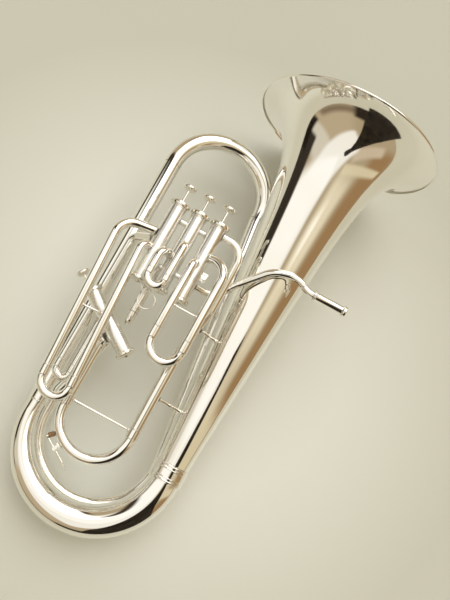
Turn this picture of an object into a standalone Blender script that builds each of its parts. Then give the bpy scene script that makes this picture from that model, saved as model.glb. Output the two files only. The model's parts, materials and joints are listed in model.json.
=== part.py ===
"""Compensating euphonium: three front valves, one side valve, six pulling slides.

Units are metres, +Z is up and the instrument lies on its back.  Everything hangs under
the empty `euphonium`, whose own frame is used by all the sizes below: X points to the
bell's side, Y along the bell towards its mouth, Z to the side that carries the valves.
Its origin is the joint between bell and bottom bow.
"""

import math

import bmesh
import bpy
from mathutils import Matrix, Vector

# ---------------------------------------------------------------- lying position
LYING_TILT = math.radians(7.4)
LYING_ROLL = math.radians(-6.4)

# ---------------------------------------------------------------- shared values
GAP = 0.0003
WALL = 0.0009
BIG_SIDES = 16
TUBE_SIDES = 8
VALVE_SIDES = 14
BEND_STEPS = 4

# ---------------------------------------------------------------- bell
BELL_LENGTH = 0.585
BELL_THROAT_RADIUS = 0.0226
BELL_CONE_SLOPE = 0.078
BELL_RIM_RADIUS = 0.150
BELL_FLARE_REACH = 0.070
BELL_FLARE_POWER = 2.2
BELL_RIM_THICKNESS = 0.0032
BELL_RIM_FACE = 0.0045
BELL_SIDES = 28

# ---------------------------------------------------------------- bows and branches
BOW_RADIUS = 0.106
BOW_CENTRE_Y = -0.008
BOW_SMALL_END_Y = 0.012
BRANCH_TOP = Vector((-0.217, 0.408, 0.0))
INNER_BRANCH_TOP = Vector((-0.0620, 0.408, -0.0412))
INNER_BRANCH_FOOT = Vector((-0.017, 0.002, -0.036))
BRANCH_STUB = 0.006
INNER_BOW_LEFT_X = -0.199
INNER_BOW_CENTRE_Y = -0.003
INNER_BOW_TUBE = 0.0092
RISER_FOOT_Y = 0.030
RISER_TOP = Vector((-0.170, 0.139, 0.030))

# ---------------------------------------------------------------- valves
VALVE_X = (-0.104, -0.136, -0.168)
VALVE_Z = 0.060
VALVE_BOTTOM_Y = 0.214
VALVE_LENGTH = 0.1285
SIDE_VALVE_BOTTOM = Vector((-0.1305, 0.1155, 0.048))
SIDE_VALVE_ANGLE = math.radians(146.4)
SIDE_VALVE_LENGTH = 0.106
CASING_RADIUS = 0.0116
CASING_BORE = 0.0106
CAP_RADIUS = 0.0147
CAP_HEIGHT = 0.0058
PISTON_RADIUS = 0.0100
PISTON_LENGTH = 0.062
PISTON_BORE = 0.0088
PISTON_SKIRT = 0.034
STEM_RADIUS = 0.0017
STEM_HOLE = 0.0027
BUTTON_RADIUS = 0.0100
BUTTON_RISE = 0.0285
SPRING_WIRE = 0.0006
SPRING_COIL = 0.0074
SPRING_TURNS = 7

# ---------------------------------------------------------------- slides
SLEEVE_OUTER = 0.0057
SLEEVE_BORE = 0.0051
LEG_OUTER = 0.0046
LEG_BORE = 0.0039
CROOK_OUTER = 0.0052
FERRULE_OUTER = 0.0060
MAIN_SLEEVE_OUTER = 0.0081
MAIN_SLEEVE_BORE = 0.0074
MAIN_LEG_OUTER = 0.0068
MAIN_LEG_BORE = 0.0060
MAIN_CROOK_OUTER = 0.0075
MAIN_FERRULE_OUTER = 0.0086
FRONT_SLIDE_Z = 0.0815
THIRD_SLIDE_Z = 0.077
THIRD_SLIDE_LEAN = math.radians(3.6)
MAIN_SLIDE_Z = 0.040
REAR_SLIDE_Z = 0.024
BRACE_RADIUS = 0.0016
MAIN_BRACE_RADIUS = 0.0021

# ---------------------------------------------------------------- leadpipe and receiver
LEADPIPE_OUTER = 0.0052
LEADPIPE_BORE = 0.0044
LEADPIPE_Z = 0.064
RECEIVER_Y = 0.316
RECEIVER_START_X = 0.060
RECEIVER_END_X = 0.112
RECEIVER_OUTER = 0.0066
RECEIVER_BORE = 0.0052
RECEIVER_RING = 0.0083

# ---------------------------------------------------------------- small fittings
RING_CENTRE = Vector((-0.143, 0.195, 0.060))
RING_RADIUS = 0.0122
RING_WIRE = 0.0010
KEY_ANGLE = math.radians(241.0)
KEY_PIN_RISE = 0.0085

SILVER = (0.86, 0.84, 0.80)
STEEL = (0.62, 0.62, 0.60)
NICKEL = (0.74, 0.72, 0.68)


# ================================================================ helpers
def clear_scene():
    for old in list(bpy.data.objects):
        bpy.data.objects.remove(old, do_unlink=True)


def make_material(name, colour, roughness=0.12, metallic=1.0):
    material = bpy.data.materials.new(name + "_finish")
    material.use_nodes = True
    shader = material.node_tree.nodes["Principled BSDF"]
    shader.inputs["Base Color"].default_value = (*colour, 1.0)
    shader.inputs["Roughness"].default_value = roughness
    shader.inputs["Metallic"].default_value = metallic
    return material


def add_empty(name, location, parent=None):
    empty = bpy.data.objects.new(name, None)
    empty.empty_display_size = 0.02
    empty.location = location
    empty.parent = parent
    bpy.context.scene.collection.objects.link(empty)
    return empty


def add_object(name, bm, pivot, colour=SILVER, roughness=0.12):
    """Store a mesh drawn in the instrument's frame as an object under its pivot empty."""
    bmesh.ops.recalc_face_normals(bm, faces=bm.faces)
    mesh = bpy.data.meshes.new(name)
    bm.to_mesh(mesh)
    bm.free()
    if pivot.parent is not None:
        mesh.transform(Matrix.Translation(-pivot.location))
    mesh.shade_smooth()
    mesh.set_sharp_from_angle(angle=math.radians(50))
    mesh.materials.append(make_material(name, colour, roughness))
    item = bpy.data.objects.new(name, mesh)
    item.parent = pivot
    bpy.context.scene.collection.objects.link(item)
    return item


def fuse(base, extra):
    """Union a helper solid into the base piece; the helper itself is left out."""
    extra.hide_render = True
    extra.display_type = "WIRE"
    union = base.modifiers.new("fuse_" + extra.name, "BOOLEAN")
    union.operation = "UNION"
    union.object = extra


def polar(centre, radius, angle):
    """A point on a circle in the X-Y plane."""
    return centre + Vector((math.cos(angle), math.sin(angle), 0.0)) * radius


def arc(centre, radius, start, stop, steps):
    return [polar(centre, radius, start + (stop - start) * i / steps) for i in range(steps + 1)]


def rounded_route(corners, bend_radius, steps=BEND_STEPS):
    """A route through the corners with each inner corner rounded to an arc."""
    route = [corners[0]]
    for before, corner, after in zip(corners, corners[1:], corners[2:]):
        incoming = (corner - before).normalized()
        outgoing = (after - corner).normalized()
        turn = incoming.angle(outgoing)
        reach = min(bend_radius * math.tan(turn / 2), 0.9 * (after - corner).length,
                    0.9 * (corner - before).length)
        radius = reach / math.tan(turn / 2)
        inward = (outgoing - incoming).normalized()
        centre = corner + inward * (radius / math.cos(turn / 2))
        spoke = (corner - incoming * reach) - centre
        axis = incoming.cross(outgoing).normalized()
        for i in range(steps + 1):
            route.append(centre + Matrix.Rotation(turn * i / steps, 3, axis) @ spoke)
    route.append(corners[-1])
    return route


def sweep(route, outer, bore=None, sides=TUBE_SIDES, up=(0, 0, 1)):
    """A tube along a route; outer and bore are radii, one value or one for each point."""
    count = len(route)
    outers = outer if isinstance(outer, list) else [outer] * count
    bores = bore if isinstance(bore, list) or bore is None else [bore] * count
    steps = [(b - a).normalized() for a, b in zip(route, route[1:])]
    tangents = [steps[0]]
    tangents += [(a + b).normalized() for a, b in zip(steps, steps[1:])]
    tangents.append(steps[-1])
    side = Vector(up)
    bm = bmesh.new()
    skins = [[], []]
    for i, (point, tangent) in enumerate(zip(route, tangents)):
        if i:
            side = tangents[i - 1].rotation_difference(tangent) @ side
        side = (side - tangent * side.dot(tangent)).normalized()
        across = tangent.cross(side)
        for skin, radii in zip(skins, (outers, bores)):
            if radii is None:
                continue
            loop = []
            for k in range(sides):
                angle = 2 * math.pi * k / sides
                offset = side * math.cos(angle) + across * math.sin(angle)
                loop.append(bm.verts.new(point + offset * radii[i]))
            skin.append(loop)
    for skin in skins:
        for low, high in zip(skin, skin[1:]):
            for k in range(sides):
                bm.faces.new((low[k], low[k - 1], high[k - 1], high[k]))
    for end in (0, -1):
        if bores is None:
            bm.faces.new(skins[0][end])
            continue
        for k in range(sides):
            outer_loop, inner_loop = skins[0][end], skins[1][end]
            bm.faces.new((outer_loop[k], outer_loop[k - 1], inner_loop[k - 1], inner_loop[k]))
    return bm


def turn(profile, origin, direction, sides=VALVE_SIDES):
    """Spin a profile of (radius, height) points about an axis through the origin.

    A profile that starts and ends on the axis gives a solid; any other is closed
    on itself and gives a ring or a sleeve.
    """
    solid = profile[0][0] == 0.0
    bm = bmesh.new()
    verts = [bm.verts.new((radius, 0.0, height)) for radius, height in profile]
    edges = [bm.edges.new(pair) for pair in zip(verts, verts[1:])]
    if not solid:
        edges.append(bm.edges.new((verts[-1], verts[0])))
    bmesh.ops.spin(bm, geom=verts + edges, cent=(0, 0, 0), axis=(0, 0, 1), dvec=(0, 0, 0),
                   angle=2 * math.pi, steps=sides, use_merge=True, use_duplicate=False)
    bmesh.ops.remove_doubles(bm, verts=bm.verts, dist=0.00001)
    bmesh.ops.transform(bm, verts=bm.verts, matrix=axis_frame(origin, direction))
    return bm


def axis_frame(origin, direction):
    """The placement whose Z runs along the direction and whose X faces the valve side."""
    z_axis = Vector(direction).normalized()
    x_axis = Vector((0, 0, 1)) if abs(z_axis.z) < 0.9 else Vector((0, 1, 0))
    x_axis = (x_axis - z_axis * x_axis.dot(z_axis)).normalized()
    y_axis = z_axis.cross(x_axis)
    turned = Matrix((x_axis, y_axis, z_axis)).transposed().to_4x4()
    return Matrix.Translation(Vector(origin)) @ turned


def cylinder(start, stop, radius, sides=TUBE_SIDES):
    return sweep([Vector(start), Vector(stop)], radius, sides=sides, up=(0.02, 0.03, 1))


# ================================================================ bell
def bell_radius(y):
    """Outer radius of the bell at a distance from the joint: a cone plus a late flare."""
    cone = BELL_THROAT_RADIUS + BELL_CONE_SLOPE * y
    flare = BELL_RIM_RADIUS - BELL_THROAT_RADIUS - BELL_CONE_SLOPE * BELL_LENGTH
    reach = BELL_FLARE_REACH / (BELL_FLARE_REACH + BELL_LENGTH - y)
    return cone + flare * reach ** BELL_FLARE_POWER


def bell_stations():
    """Distances along the bell, closing up towards the rim where it curves most."""
    count = 13
    return [GAP + (BELL_LENGTH - 0.001 - GAP) * (1 - (1 - i / count) ** 2.6) for i in range(count + 1)]


def build_bell(root):
    stations = bell_stations()
    outside = [(bell_radius(y), y) for y in stations]
    inside = []
    for y in stations[:-1]:
        slope = (bell_radius(y + 0.0005) - bell_radius(y)) / 0.0005
        normal = Vector((1.0, -slope)).normalized()
        inside.append((bell_radius(y) - normal.x * WALL, y - normal.y * WALL))
    inside[0] = (inside[0][0], stations[0])
    rim_top = BELL_LENGTH + BELL_RIM_THICKNESS / 2
    rim = [(BELL_RIM_RADIUS, BELL_LENGTH), (BELL_RIM_RADIUS, rim_top),
           (BELL_RIM_RADIUS - BELL_RIM_FACE, rim_top)]
    profile = outside[:-1] + rim + inside[::-1]
    add_object("bell", turn(profile, (0, 0, 0), (0, 1, 0), BELL_SIDES), root)


def sleeve_profile(bore, outer, ring, length, ring_width):
    """A joint sleeve with a raised ring at each end."""
    half = length / 2
    return [(bore, -half), (ring, -half), (ring, ring_width - half), (outer, ring_width - half),
            (outer, half - ring_width), (ring, half - ring_width), (ring, half), (bore, half)]


def build_bell_ferrule(root):
    profile = sleeve_profile(0.0250, 0.0260, 0.0269, 0.026, 0.004)
    add_object("bell_ferrule", turn(profile, (0, 0.002, 0), (0, 1, 0), 20), root)


# ================================================================ bows and branches
def bow_tube_radius(share):
    """Tube radius of the bottom bow, from its large end (0) to its small end (1)."""
    return BELL_THROAT_RADIUS + 0.0094 * share - 0.0200 * share ** 2


def build_bottom_bow(root):
    centre = Vector((-BOW_RADIUS, BOW_CENTRE_Y, 0.0))
    route = [Vector((0.0, -GAP, 0.0))]
    route += arc(centre, BOW_RADIUS, 0.0, -math.pi, 13)
    route.append(Vector((-2 * BOW_RADIUS, BOW_SMALL_END_Y - GAP, 0.0)))
    last = len(route) - 2
    outer = [bow_tube_radius(i / last) for i in range(last + 1)]
    outer.append(outer[-1])
    bore = [radius - WALL for radius in outer]
    add_object("bottom_bow", sweep(route, outer, bore, BIG_SIDES), root)


def build_outer_branch(root):
    start = Vector((-2 * BOW_RADIUS, BOW_SMALL_END_Y + GAP, 0.0))
    stop = BRANCH_TOP - Vector((0, GAP, 0))
    bm = sweep([start, stop], [0.0118, 0.0130], [0.0109, 0.0121], BIG_SIDES)
    add_object("outer_branch", bm, root)
    profile = sleeve_profile(0.0124, 0.0130, 0.0138, 0.020, 0.003)
    centre = (-2 * BOW_RADIUS, BOW_SMALL_END_Y, 0.0)
    add_object("bow_ferrule", turn(profile, centre, (0, 1, 0), BIG_SIDES), root)


def build_top_bow(root):
    middle = (BRANCH_TOP + INNER_BRANCH_TOP) / 2
    half = (INNER_BRANCH_TOP - BRANCH_TOP) / 2
    steps = 9
    route = [BRANCH_TOP + Vector((0, GAP, 0))]
    for i in range(steps + 1):
        angle = math.pi * i / steps
        rise = BRANCH_STUB + (half.length - BRANCH_STUB) * math.sin(angle)
        route.append(middle - half * math.cos(angle) + Vector((0, rise, 0)))
    route.append(INNER_BRANCH_TOP + Vector((0, GAP, 0)))
    outer = [0.0133 - 0.0009 * i / (steps + 2) for i in range(steps + 3)]
    bore = [radius - WALL for radius in outer]
    add_object("top_bow", sweep(route, outer, bore, BIG_SIDES), root)


def build_inner_branch(root):
    gap = Vector((0, GAP, 0))
    stub = Vector((0, BRANCH_STUB, 0))
    route = [INNER_BRANCH_TOP - gap, INNER_BRANCH_TOP - stub, INNER_BRANCH_FOOT + stub, INNER_BRANCH_FOOT + gap]
    outer = [0.0123, 0.0123, 0.0094, 0.0094]
    bore = [radius - WALL for radius in outer]
    add_object("inner_branch", sweep(route, outer, bore, BIG_SIDES), root)


def build_inner_bow(root):
    z = INNER_BRANCH_FOOT.z
    centre_x = (INNER_BRANCH_FOOT.x + INNER_BOW_LEFT_X) / 2
    radius = (INNER_BRANCH_FOOT.x - INNER_BOW_LEFT_X) / 2
    bend = arc(Vector((centre_x, INNER_BOW_CENTRE_Y, z)), radius, 0.0, -math.pi, 10)
    riser = [bend[-1], Vector((INNER_BOW_LEFT_X, RISER_FOOT_Y, z)),
             Vector((RISER_TOP.x, RISER_TOP.y, z)), RISER_TOP]
    route = [INNER_BRANCH_FOOT - Vector((0, GAP, 0))] + bend[:-1] + rounded_route(riser, 0.020, 3)
    bm = sweep(route, INNER_BOW_TUBE, INNER_BOW_TUBE - WALL, 10)
    add_object("inner_bow", bm, root)


# ================================================================ valves
def build_valve(root, number, bottom, direction, length):
    """One piston valve: casing, two caps, return spring, piston and finger button."""
    up = Vector(direction).normalized()
    tag = "_%d" % number
    top = bottom + up * length
    floor = CAP_HEIGHT * 0.4
    lip = CAP_RADIUS - 0.0012

    wall = [(CASING_BORE, floor + GAP), (CASING_RADIUS, floor + GAP),
            (CASING_RADIUS, length - floor - GAP), (CASING_BORE, length - floor - GAP)]
    casing = add_object("valve_casing" + tag, turn(wall, bottom, up), root)

    bore = CASING_RADIUS + 0.0004
    cup = [(0.0, -0.0030), (0.0034, -0.0030), (0.0042, 0.0), (lip, 0.0), (CAP_RADIUS, 0.0012),
           (CAP_RADIUS, CAP_HEIGHT), (bore, CAP_HEIGHT), (bore, floor), (0.0, floor)]
    add_object("bottom_cap" + tag, turn(cup, bottom, up), root)

    lid = [(STEM_HOLE, 0.0), (STEM_HOLE, floor), (bore, floor), (bore, CAP_HEIGHT),
           (CAP_RADIUS, CAP_HEIGHT), (CAP_RADIUS, 0.0012), (lip, 0.0)]
    lid.reverse()
    add_object("top_cap" + tag, turn(lid, top, -up), root)

    pivot = add_empty("valve_axis" + tag, bottom, root)
    piston_top = length - floor - 0.0190
    piston_foot = piston_top - PISTON_LENGTH
    skirt_top = piston_foot + PISTON_SKIRT
    shell = [(0.0, skirt_top), (PISTON_BORE, skirt_top), (PISTON_BORE, piston_foot),
             (PISTON_RADIUS, piston_foot), (PISTON_RADIUS, piston_top), (0.0024, piston_top),
             (0.0024, piston_top - 0.004), (0.0, piston_top - 0.004)]
    add_object("piston" + tag, turn(shell, bottom, up, 12), pivot, NICKEL, 0.2)

    head = length + BUTTON_RISE
    button = [(0.0, piston_top - 0.0037), (STEM_RADIUS, piston_top - 0.0037), (STEM_RADIUS, head - 0.0060),
              (0.0042, head - 0.0054), (BUTTON_RADIUS - 0.0010, head - 0.0036), (BUTTON_RADIUS, head - 0.0026),
              (BUTTON_RADIUS, head - 0.0008), (BUTTON_RADIUS - 0.0010, head), (0.0, head)]
    add_object("finger_button" + tag, turn(button, bottom, up, 12), pivot)

    spring_low = floor + SPRING_WIRE + GAP
    spring_high = skirt_top - SPRING_WIRE - GAP
    build_spring(root, "valve_spring" + tag, bottom, up, spring_low, spring_high)
    return casing


def build_spring(root, name, bottom, up, low, high):
    """A return spring standing in the casing, its top coil inside the piston's skirt."""
    placement = axis_frame(bottom, up)
    per_turn = 6
    count = SPRING_TURNS * per_turn
    route = []
    for i in range(count + 1):
        angle = 2 * math.pi * i / per_turn
        height = low + (high - low) * i / count
        point = Vector((SPRING_COIL * math.cos(angle), SPRING_COIL * math.sin(angle), height))
        route.append(placement @ point)
    add_object(name, sweep(route, SPRING_WIRE, sides=4, up=up), root, STEEL, 0.3)


def build_valves(root):
    casings = []
    for number, x in enumerate(VALVE_X, start=1):
        bottom = Vector((x, VALVE_BOTTOM_Y, VALVE_Z))
        casings.append(build_valve(root, number, bottom, (0, 1, 0), VALVE_LENGTH))
    side_up = Vector((math.cos(SIDE_VALVE_ANGLE), math.sin(SIDE_VALVE_ANGLE), 0.0))
    build_valve(root, 4, SIDE_VALVE_BOTTOM, side_up, SIDE_VALVE_LENGTH)
    add_valve_links(root, casings[1])


def add_valve_links(root, middle_casing):
    """Short tubes that tie the middle casing to its neighbours."""
    for number, y in enumerate((0.2465, 0.3185)):
        for side in (-1, 1):
            start = Vector((VALVE_X[1] + side * (CASING_RADIUS - 0.0005), y, VALVE_Z))
            reach = abs(VALVE_X[1] - VALVE_X[0]) - CASING_RADIUS - GAP
            stop = Vector((VALVE_X[1] + side * reach, y, VALVE_Z))
            name = "link_%d_%s" % (number, "left" if side < 0 else "right")
            fuse(middle_casing, add_object(name, cylinder(start, stop, 0.0042), root))


# ================================================================ slides
class SlideFrame:
    """Where a U-shaped slide lies: crook centre, pulling direction and leg spacing."""

    def __init__(self, centre, lean, spacing, out=(0, 0, 1)):
        self.centre = Vector(centre)
        self.pull = Vector((math.sin(lean), -math.cos(lean), 0.0))
        self.out = Vector(out)
        self.side = self.out.cross(self.pull).normalized()
        self.half = spacing / 2

    def point(self, hand, along):
        """A point on a leg: hand -1 or +1 picks the leg, along counts up from the crook."""
        return self.centre + self.side * (self.half * hand) - self.pull * along


def crook_mesh(frame, ferrule_length, leg_length, main=False):
    """The sliding piece: two inner legs, two ferrules and the half-round crook."""
    leg = MAIN_LEG_OUTER if main else LEG_OUTER
    ferrule = MAIN_FERRULE_OUTER if main else FERRULE_OUTER
    tube = MAIN_CROOK_OUTER if main else CROOK_OUTER
    inner = MAIN_LEG_BORE if main else LEG_BORE
    step = 0.0004
    joint = ferrule_length
    heights = [joint + leg_length, joint + step, joint, step * 2, step]
    radii = [leg, leg, ferrule, ferrule, tube]
    route = [frame.point(-1, height) for height in heights]
    outer = list(radii)
    bend_steps = 8 if main else 6
    for i in range(bend_steps + 1):
        angle = math.pi * i / bend_steps
        spoke = frame.side * (-math.cos(angle)) + frame.pull * math.sin(angle)
        route.append(frame.centre + spoke * frame.half)
        outer.append(tube)
    route += [frame.point(1, height) for height in reversed(heights)]
    outer += radii[::-1]
    return sweep(route, outer, inner, TUBE_SIDES, up=frame.out)


def sleeve(frame, hand, joint, corners, main=False):
    """A fixed outer tube: straight over the inner leg, then bent to its valve."""
    route = rounded_route([frame.point(hand, joint + GAP)] + corners, 0.0125)
    outer = MAIN_SLEEVE_OUTER if main else SLEEVE_OUTER
    bore = MAIN_SLEEVE_BORE if main else SLEEVE_BORE
    return sweep(route, outer, bore, TUBE_SIDES, up=frame.out)


def casing_port(axis_point, towards, y, gap=GAP):
    """The point just off a front valve's casing, on the side facing a given point."""
    flat = Vector((towards.x - axis_point.x, 0.0, towards.z - axis_point.z)).normalized()
    return Vector((axis_point.x, y, axis_point.z)) + flat * (CASING_RADIUS + gap)


def valve_axis(number):
    return Vector((VALVE_X[number - 1], 0.0, VALVE_Z))


def cross_brace(frame, along, tube_outer, radius=BRACE_RADIUS):
    start = frame.point(-1, along) + frame.side * (tube_outer - 0.0006)
    stop = frame.point(1, along) - frame.side * (tube_outer - 0.0006)
    return cylinder(start, stop, radius)


def build_first_slide(root):
    frame = SlideFrame((-0.0875, 0.151, FRONT_SLIDE_Z), 0.0, 0.046)
    left_top = Vector((frame.point(-1, 0).x, 0.272, FRONT_SLIDE_Z))
    left_port = casing_port(valve_axis(1), left_top, 0.272)
    right_top = Vector((frame.point(1, 0).x, 0.289, FRONT_SLIDE_Z))
    right_port = casing_port(valve_axis(1), right_top, 0.290)
    joint = 0.017
    left = add_object("first_slide_tubes", sleeve(frame, -1, joint, [left_top, left_port]), root)
    route = rounded_route([frame.point(1, joint + GAP), right_top, right_port], 0.026)
    fuse(left, add_object("first_right_tube", sweep(route, SLEEVE_OUTER, SLEEVE_BORE, up=frame.out), root))
    fuse(left, add_object("first_brace", cross_brace(frame, 0.0535, SLEEVE_OUTER), root))
    pivot = add_empty("first_slide_axis", frame.centre, root)
    add_object("first_slide_crook", crook_mesh(frame, joint, 0.055), pivot)


def build_second_slide(root):
    frame = SlideFrame((-0.1452, 0.2268, FRONT_SLIDE_Z), 0.0, 0.0245)
    left_top = Vector((frame.point(-1, 0).x, 0.267, FRONT_SLIDE_Z))
    left_port = casing_port(valve_axis(2), left_top, 0.267)
    right_top = Vector((frame.point(1, 0).x, 0.287, FRONT_SLIDE_Z))
    right_port = casing_port(valve_axis(2), right_top, 0.287)
    joint = 0.0082
    add_object("second_slide_left_tube", sleeve(frame, -1, joint, [left_top, left_port]), root)
    add_object("second_slide_right_tube", sleeve(frame, 1, joint, [right_top, right_port]), root)
    pivot = add_empty("second_slide_axis", frame.centre, root)
    add_object("second_slide_crook", crook_mesh(frame, joint, 0.022), pivot)


def build_third_slide(root):
    frame = SlideFrame((-0.1920, 0.040, THIRD_SLIDE_Z), THIRD_SLIDE_LEAN, 0.0404)
    joint = 0.014
    right_top = frame.point(1, 0.2225)
    right_port = casing_port(valve_axis(3), right_top, right_top.y)
    left_top = frame.point(-1, 0.240)
    left_port = casing_port(valve_axis(3), left_top, 0.288, 0.0018)
    tubes = add_object("third_slide_tubes", sleeve(frame, 1, joint, [right_top, right_port]), root)
    route = rounded_route([frame.point(-1, joint + GAP), left_top, left_port], 0.026)
    fuse(tubes, add_object("third_left_tube", sweep(route, SLEEVE_OUTER, SLEEVE_BORE, up=frame.out), root))
    fuse(tubes, add_object("third_brace", cross_brace(frame, 0.107, SLEEVE_OUTER), root))
    pivot = add_empty("third_slide_axis", frame.centre, root)
    add_object("third_slide_crook", crook_mesh(frame, joint, 0.075), pivot)


def build_main_slide(root):
    frame = SlideFrame((-0.1205, 0.0186, MAIN_SLIDE_Z), 0.0, 0.1026)
    joint = 0.0134
    left_x = frame.point(-1, 0).x
    left_corner = Vector((left_x, 0.117, MAIN_SLIDE_Z))
    left_port = Vector((-0.1671, 0.1242, 0.045))
    add_object("main_slide_left_tube", sleeve(frame, -1, joint, [left_corner, left_port], True), root)
    right_top = frame.point(1, 0.130)
    tube = sweep([frame.point(1, joint + GAP), right_top], MAIN_SLEEVE_OUTER, MAIN_SLEEVE_BORE)
    add_object("main_slide_right_tube", tube, root)
    pivot = add_empty("main_slide_axis", frame.centre, root)
    crook = add_object("main_slide_crook", crook_mesh(frame, joint, 0.060, True), pivot)
    fuse(crook, add_object("main_brace", cross_brace(frame, joint * 0.75, MAIN_FERRULE_OUTER,
                                                        MAIN_BRACE_RADIUS), pivot))
    build_feed_tube(root, right_top)
    build_water_key(root, pivot, frame)


def build_feed_tube(root, foot):
    """The bent tube from the main slide's right leg up to the first valve."""
    port = casing_port(valve_axis(1), Vector((-0.05, 0.0, 0.060)), 0.328)
    corners = [foot + Vector((0, 2 * GAP, 0)), Vector((-0.069, 0.164, 0.041)), Vector((-0.057, 0.225, 0.052)),
               Vector((-0.0565, 0.327, 0.060)), port]
    add_object("valve_feed_tube", sweep(rounded_route(corners, 0.026, 3), 0.0060, 0.0052), root)


def build_rear_slide(root):
    """The fourth valve's slide, flat behind the third slide."""
    frame = SlideFrame((-0.199, 0.058, REAR_SLIDE_Z), 0.0, 0.0200)
    joint = 0.012
    left_top = frame.point(-1, 0.217)
    left_end = Vector((-0.1795, 0.279, 0.0525))
    right_top = frame.point(1, 0.0915)
    right_end = right_top + Vector((0, 0, 0.0117))
    add_object("rear_slide_left_tube", sleeve(frame, -1, joint, [left_top, left_end]), root)
    add_object("rear_slide_right_tube", sleeve(frame, 1, joint, [right_top, right_end]), root)
    pivot = add_empty("rear_slide_axis", frame.centre, root)
    add_object("rear_slide_crook", crook_mesh(frame, joint, 0.045), pivot)


def build_loop_slide(root):
    """The small compensating loop behind the second and third valves."""
    frame = SlideFrame((-0.1534, 0.167, 0.0290), 0.0, 0.0165, out=(1, 0, 0))
    joint = 0.008
    back_top = frame.point(1, 0.088)
    back_port = casing_port(valve_axis(2), back_top, back_top.y)
    front_top = frame.point(-1, 0.063)
    front_port = casing_port(valve_axis(3), front_top, front_top.y)
    add_object("loop_slide_back_tube", sleeve(frame, 1, joint, [back_top, back_port]), root)
    add_object("loop_slide_front_tube", sleeve(frame, -1, joint, [front_top, front_port]), root)
    pivot = add_empty("loop_slide_axis", frame.centre, root)
    add_object("loop_slide_crook", crook_mesh(frame, joint, 0.030), pivot)


# ================================================================ leadpipe
def build_leadpipe(root):
    low_corner = Vector((-0.068, 0.247, 0.038))
    port = casing_port(valve_axis(1), low_corner, 0.2465)
    corners = [port, low_corner, Vector((-0.040, 0.284, 0.044)),
               Vector((-0.006, 0.318, LEADPIPE_Z)), Vector((0.030, 0.328, LEADPIPE_Z)),
               Vector((0.050, RECEIVER_Y, LEADPIPE_Z)), Vector((RECEIVER_START_X - GAP, RECEIVER_Y, LEADPIPE_Z))]
    route = rounded_route(corners, 0.035, 3)
    add_object("leadpipe", sweep(route, LEADPIPE_OUTER, LEADPIPE_BORE), root)
    collar = sleeve_profile(0.0060, 0.0066, 0.0073, 0.011, 0.0025)
    way = corners[2] - corners[1]
    add_object("leadpipe_ferrule", turn(collar, corners[1] + way * 0.56, way, 12), root)


def build_receiver(root):
    """The mouthpiece socket: its mouth is the flat ring at the free end."""
    length = RECEIVER_END_X - RECEIVER_START_X
    profile = [(LEADPIPE_BORE, 0.0), (RECEIVER_RING - 0.0006, 0.0), (RECEIVER_RING - 0.0006, 0.005),
               (RECEIVER_OUTER, 0.005), (RECEIVER_OUTER, length - 0.005), (RECEIVER_RING, length - 0.005),
               (RECEIVER_RING, length), (RECEIVER_BORE, length), (RECEIVER_BORE, 0.018), (LEADPIPE_BORE, 0.018)]
    start = (RECEIVER_START_X, RECEIVER_Y, LEADPIPE_Z)
    add_object("mouthpiece_receiver", turn(profile, start, (1, 0, 0), VALVE_SIDES), root)


# ================================================================ small fittings
def build_water_key(root, slide_pivot, frame):
    """Saddle on the outside of the main crook, with its rocking lever and cork."""
    outward = Vector((math.cos(KEY_ANGLE), math.sin(KEY_ANGLE), 0.0))
    along = Vector((-outward.y, outward.x, 0.0))
    surface = frame.centre + outward * (frame.half + MAIN_CROOK_OUTER)
    pin = surface + outward * KEY_PIN_RISE
    base = surface - outward * 0.0004 + outward * 0.0009
    saddle = add_object("water_key_saddle", block(base + outward * 0.0012, along * 0.0045,
                                                  outward * 0.0012, Vector((0, 0, 0.0052))), slide_pivot)
    for hand in (-1, 1):
        ear = block(base + outward * 0.0055 + Vector((0, 0, 0.0044 * hand)), along * 0.0026,
                    outward * 0.0050, Vector((0, 0, 0.0007)))
        fuse(saddle, add_object("key_ear_%d" % (hand + 2), ear, slide_pivot))
    key_pivot = add_empty("water_key_axis", pin - slide_pivot.location, slide_pivot)
    bar = sweep([pin - along * 0.0215 - outward * 0.0012, pin - along * 0.006, pin + along * 0.006,
                 pin + along * 0.030 + outward * 0.0030], [0.0013, 0.0017, 0.0017, 0.0012], sides=6)
    lever = add_key_piece("water_key_lever", bar, slide_pivot, key_pivot)
    hub = cylinder(pin - Vector((0, 0, 0.0033)), pin + Vector((0, 0, 0.0033)), 0.0024)
    fuse(lever, add_key_piece("key_hub", hub, slide_pivot, key_pivot))
    tip = pin - along * 0.0205
    drop = (tip - frame.centre).length - frame.half - MAIN_CROOK_OUTER
    inward = (frame.centre - tip).normalized()
    cork = cylinder(tip - inward * 0.0005, tip + inward * (drop - 0.0008), 0.0036)
    fuse(lever, add_key_piece("key_cork", cork, slide_pivot, key_pivot))


def add_key_piece(name, bm, slide_pivot, key_pivot):
    """Like add_object, for a pivot that hangs under another pivot."""
    item = add_object(name, bm, key_pivot)
    item.data.transform(Matrix.Translation(-slide_pivot.location))
    return item


def block(centre, half_x, half_y, half_z):
    """A box from its centre and three half edges."""
    bm = bmesh.new()
    bmesh.ops.create_cube(bm, size=2.0)
    edges = Matrix((half_x, half_y, half_z)).transposed().to_4x4()
    bmesh.ops.transform(bm, verts=bm.verts, matrix=Matrix.Translation(centre) @ edges)
    return bm


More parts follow.
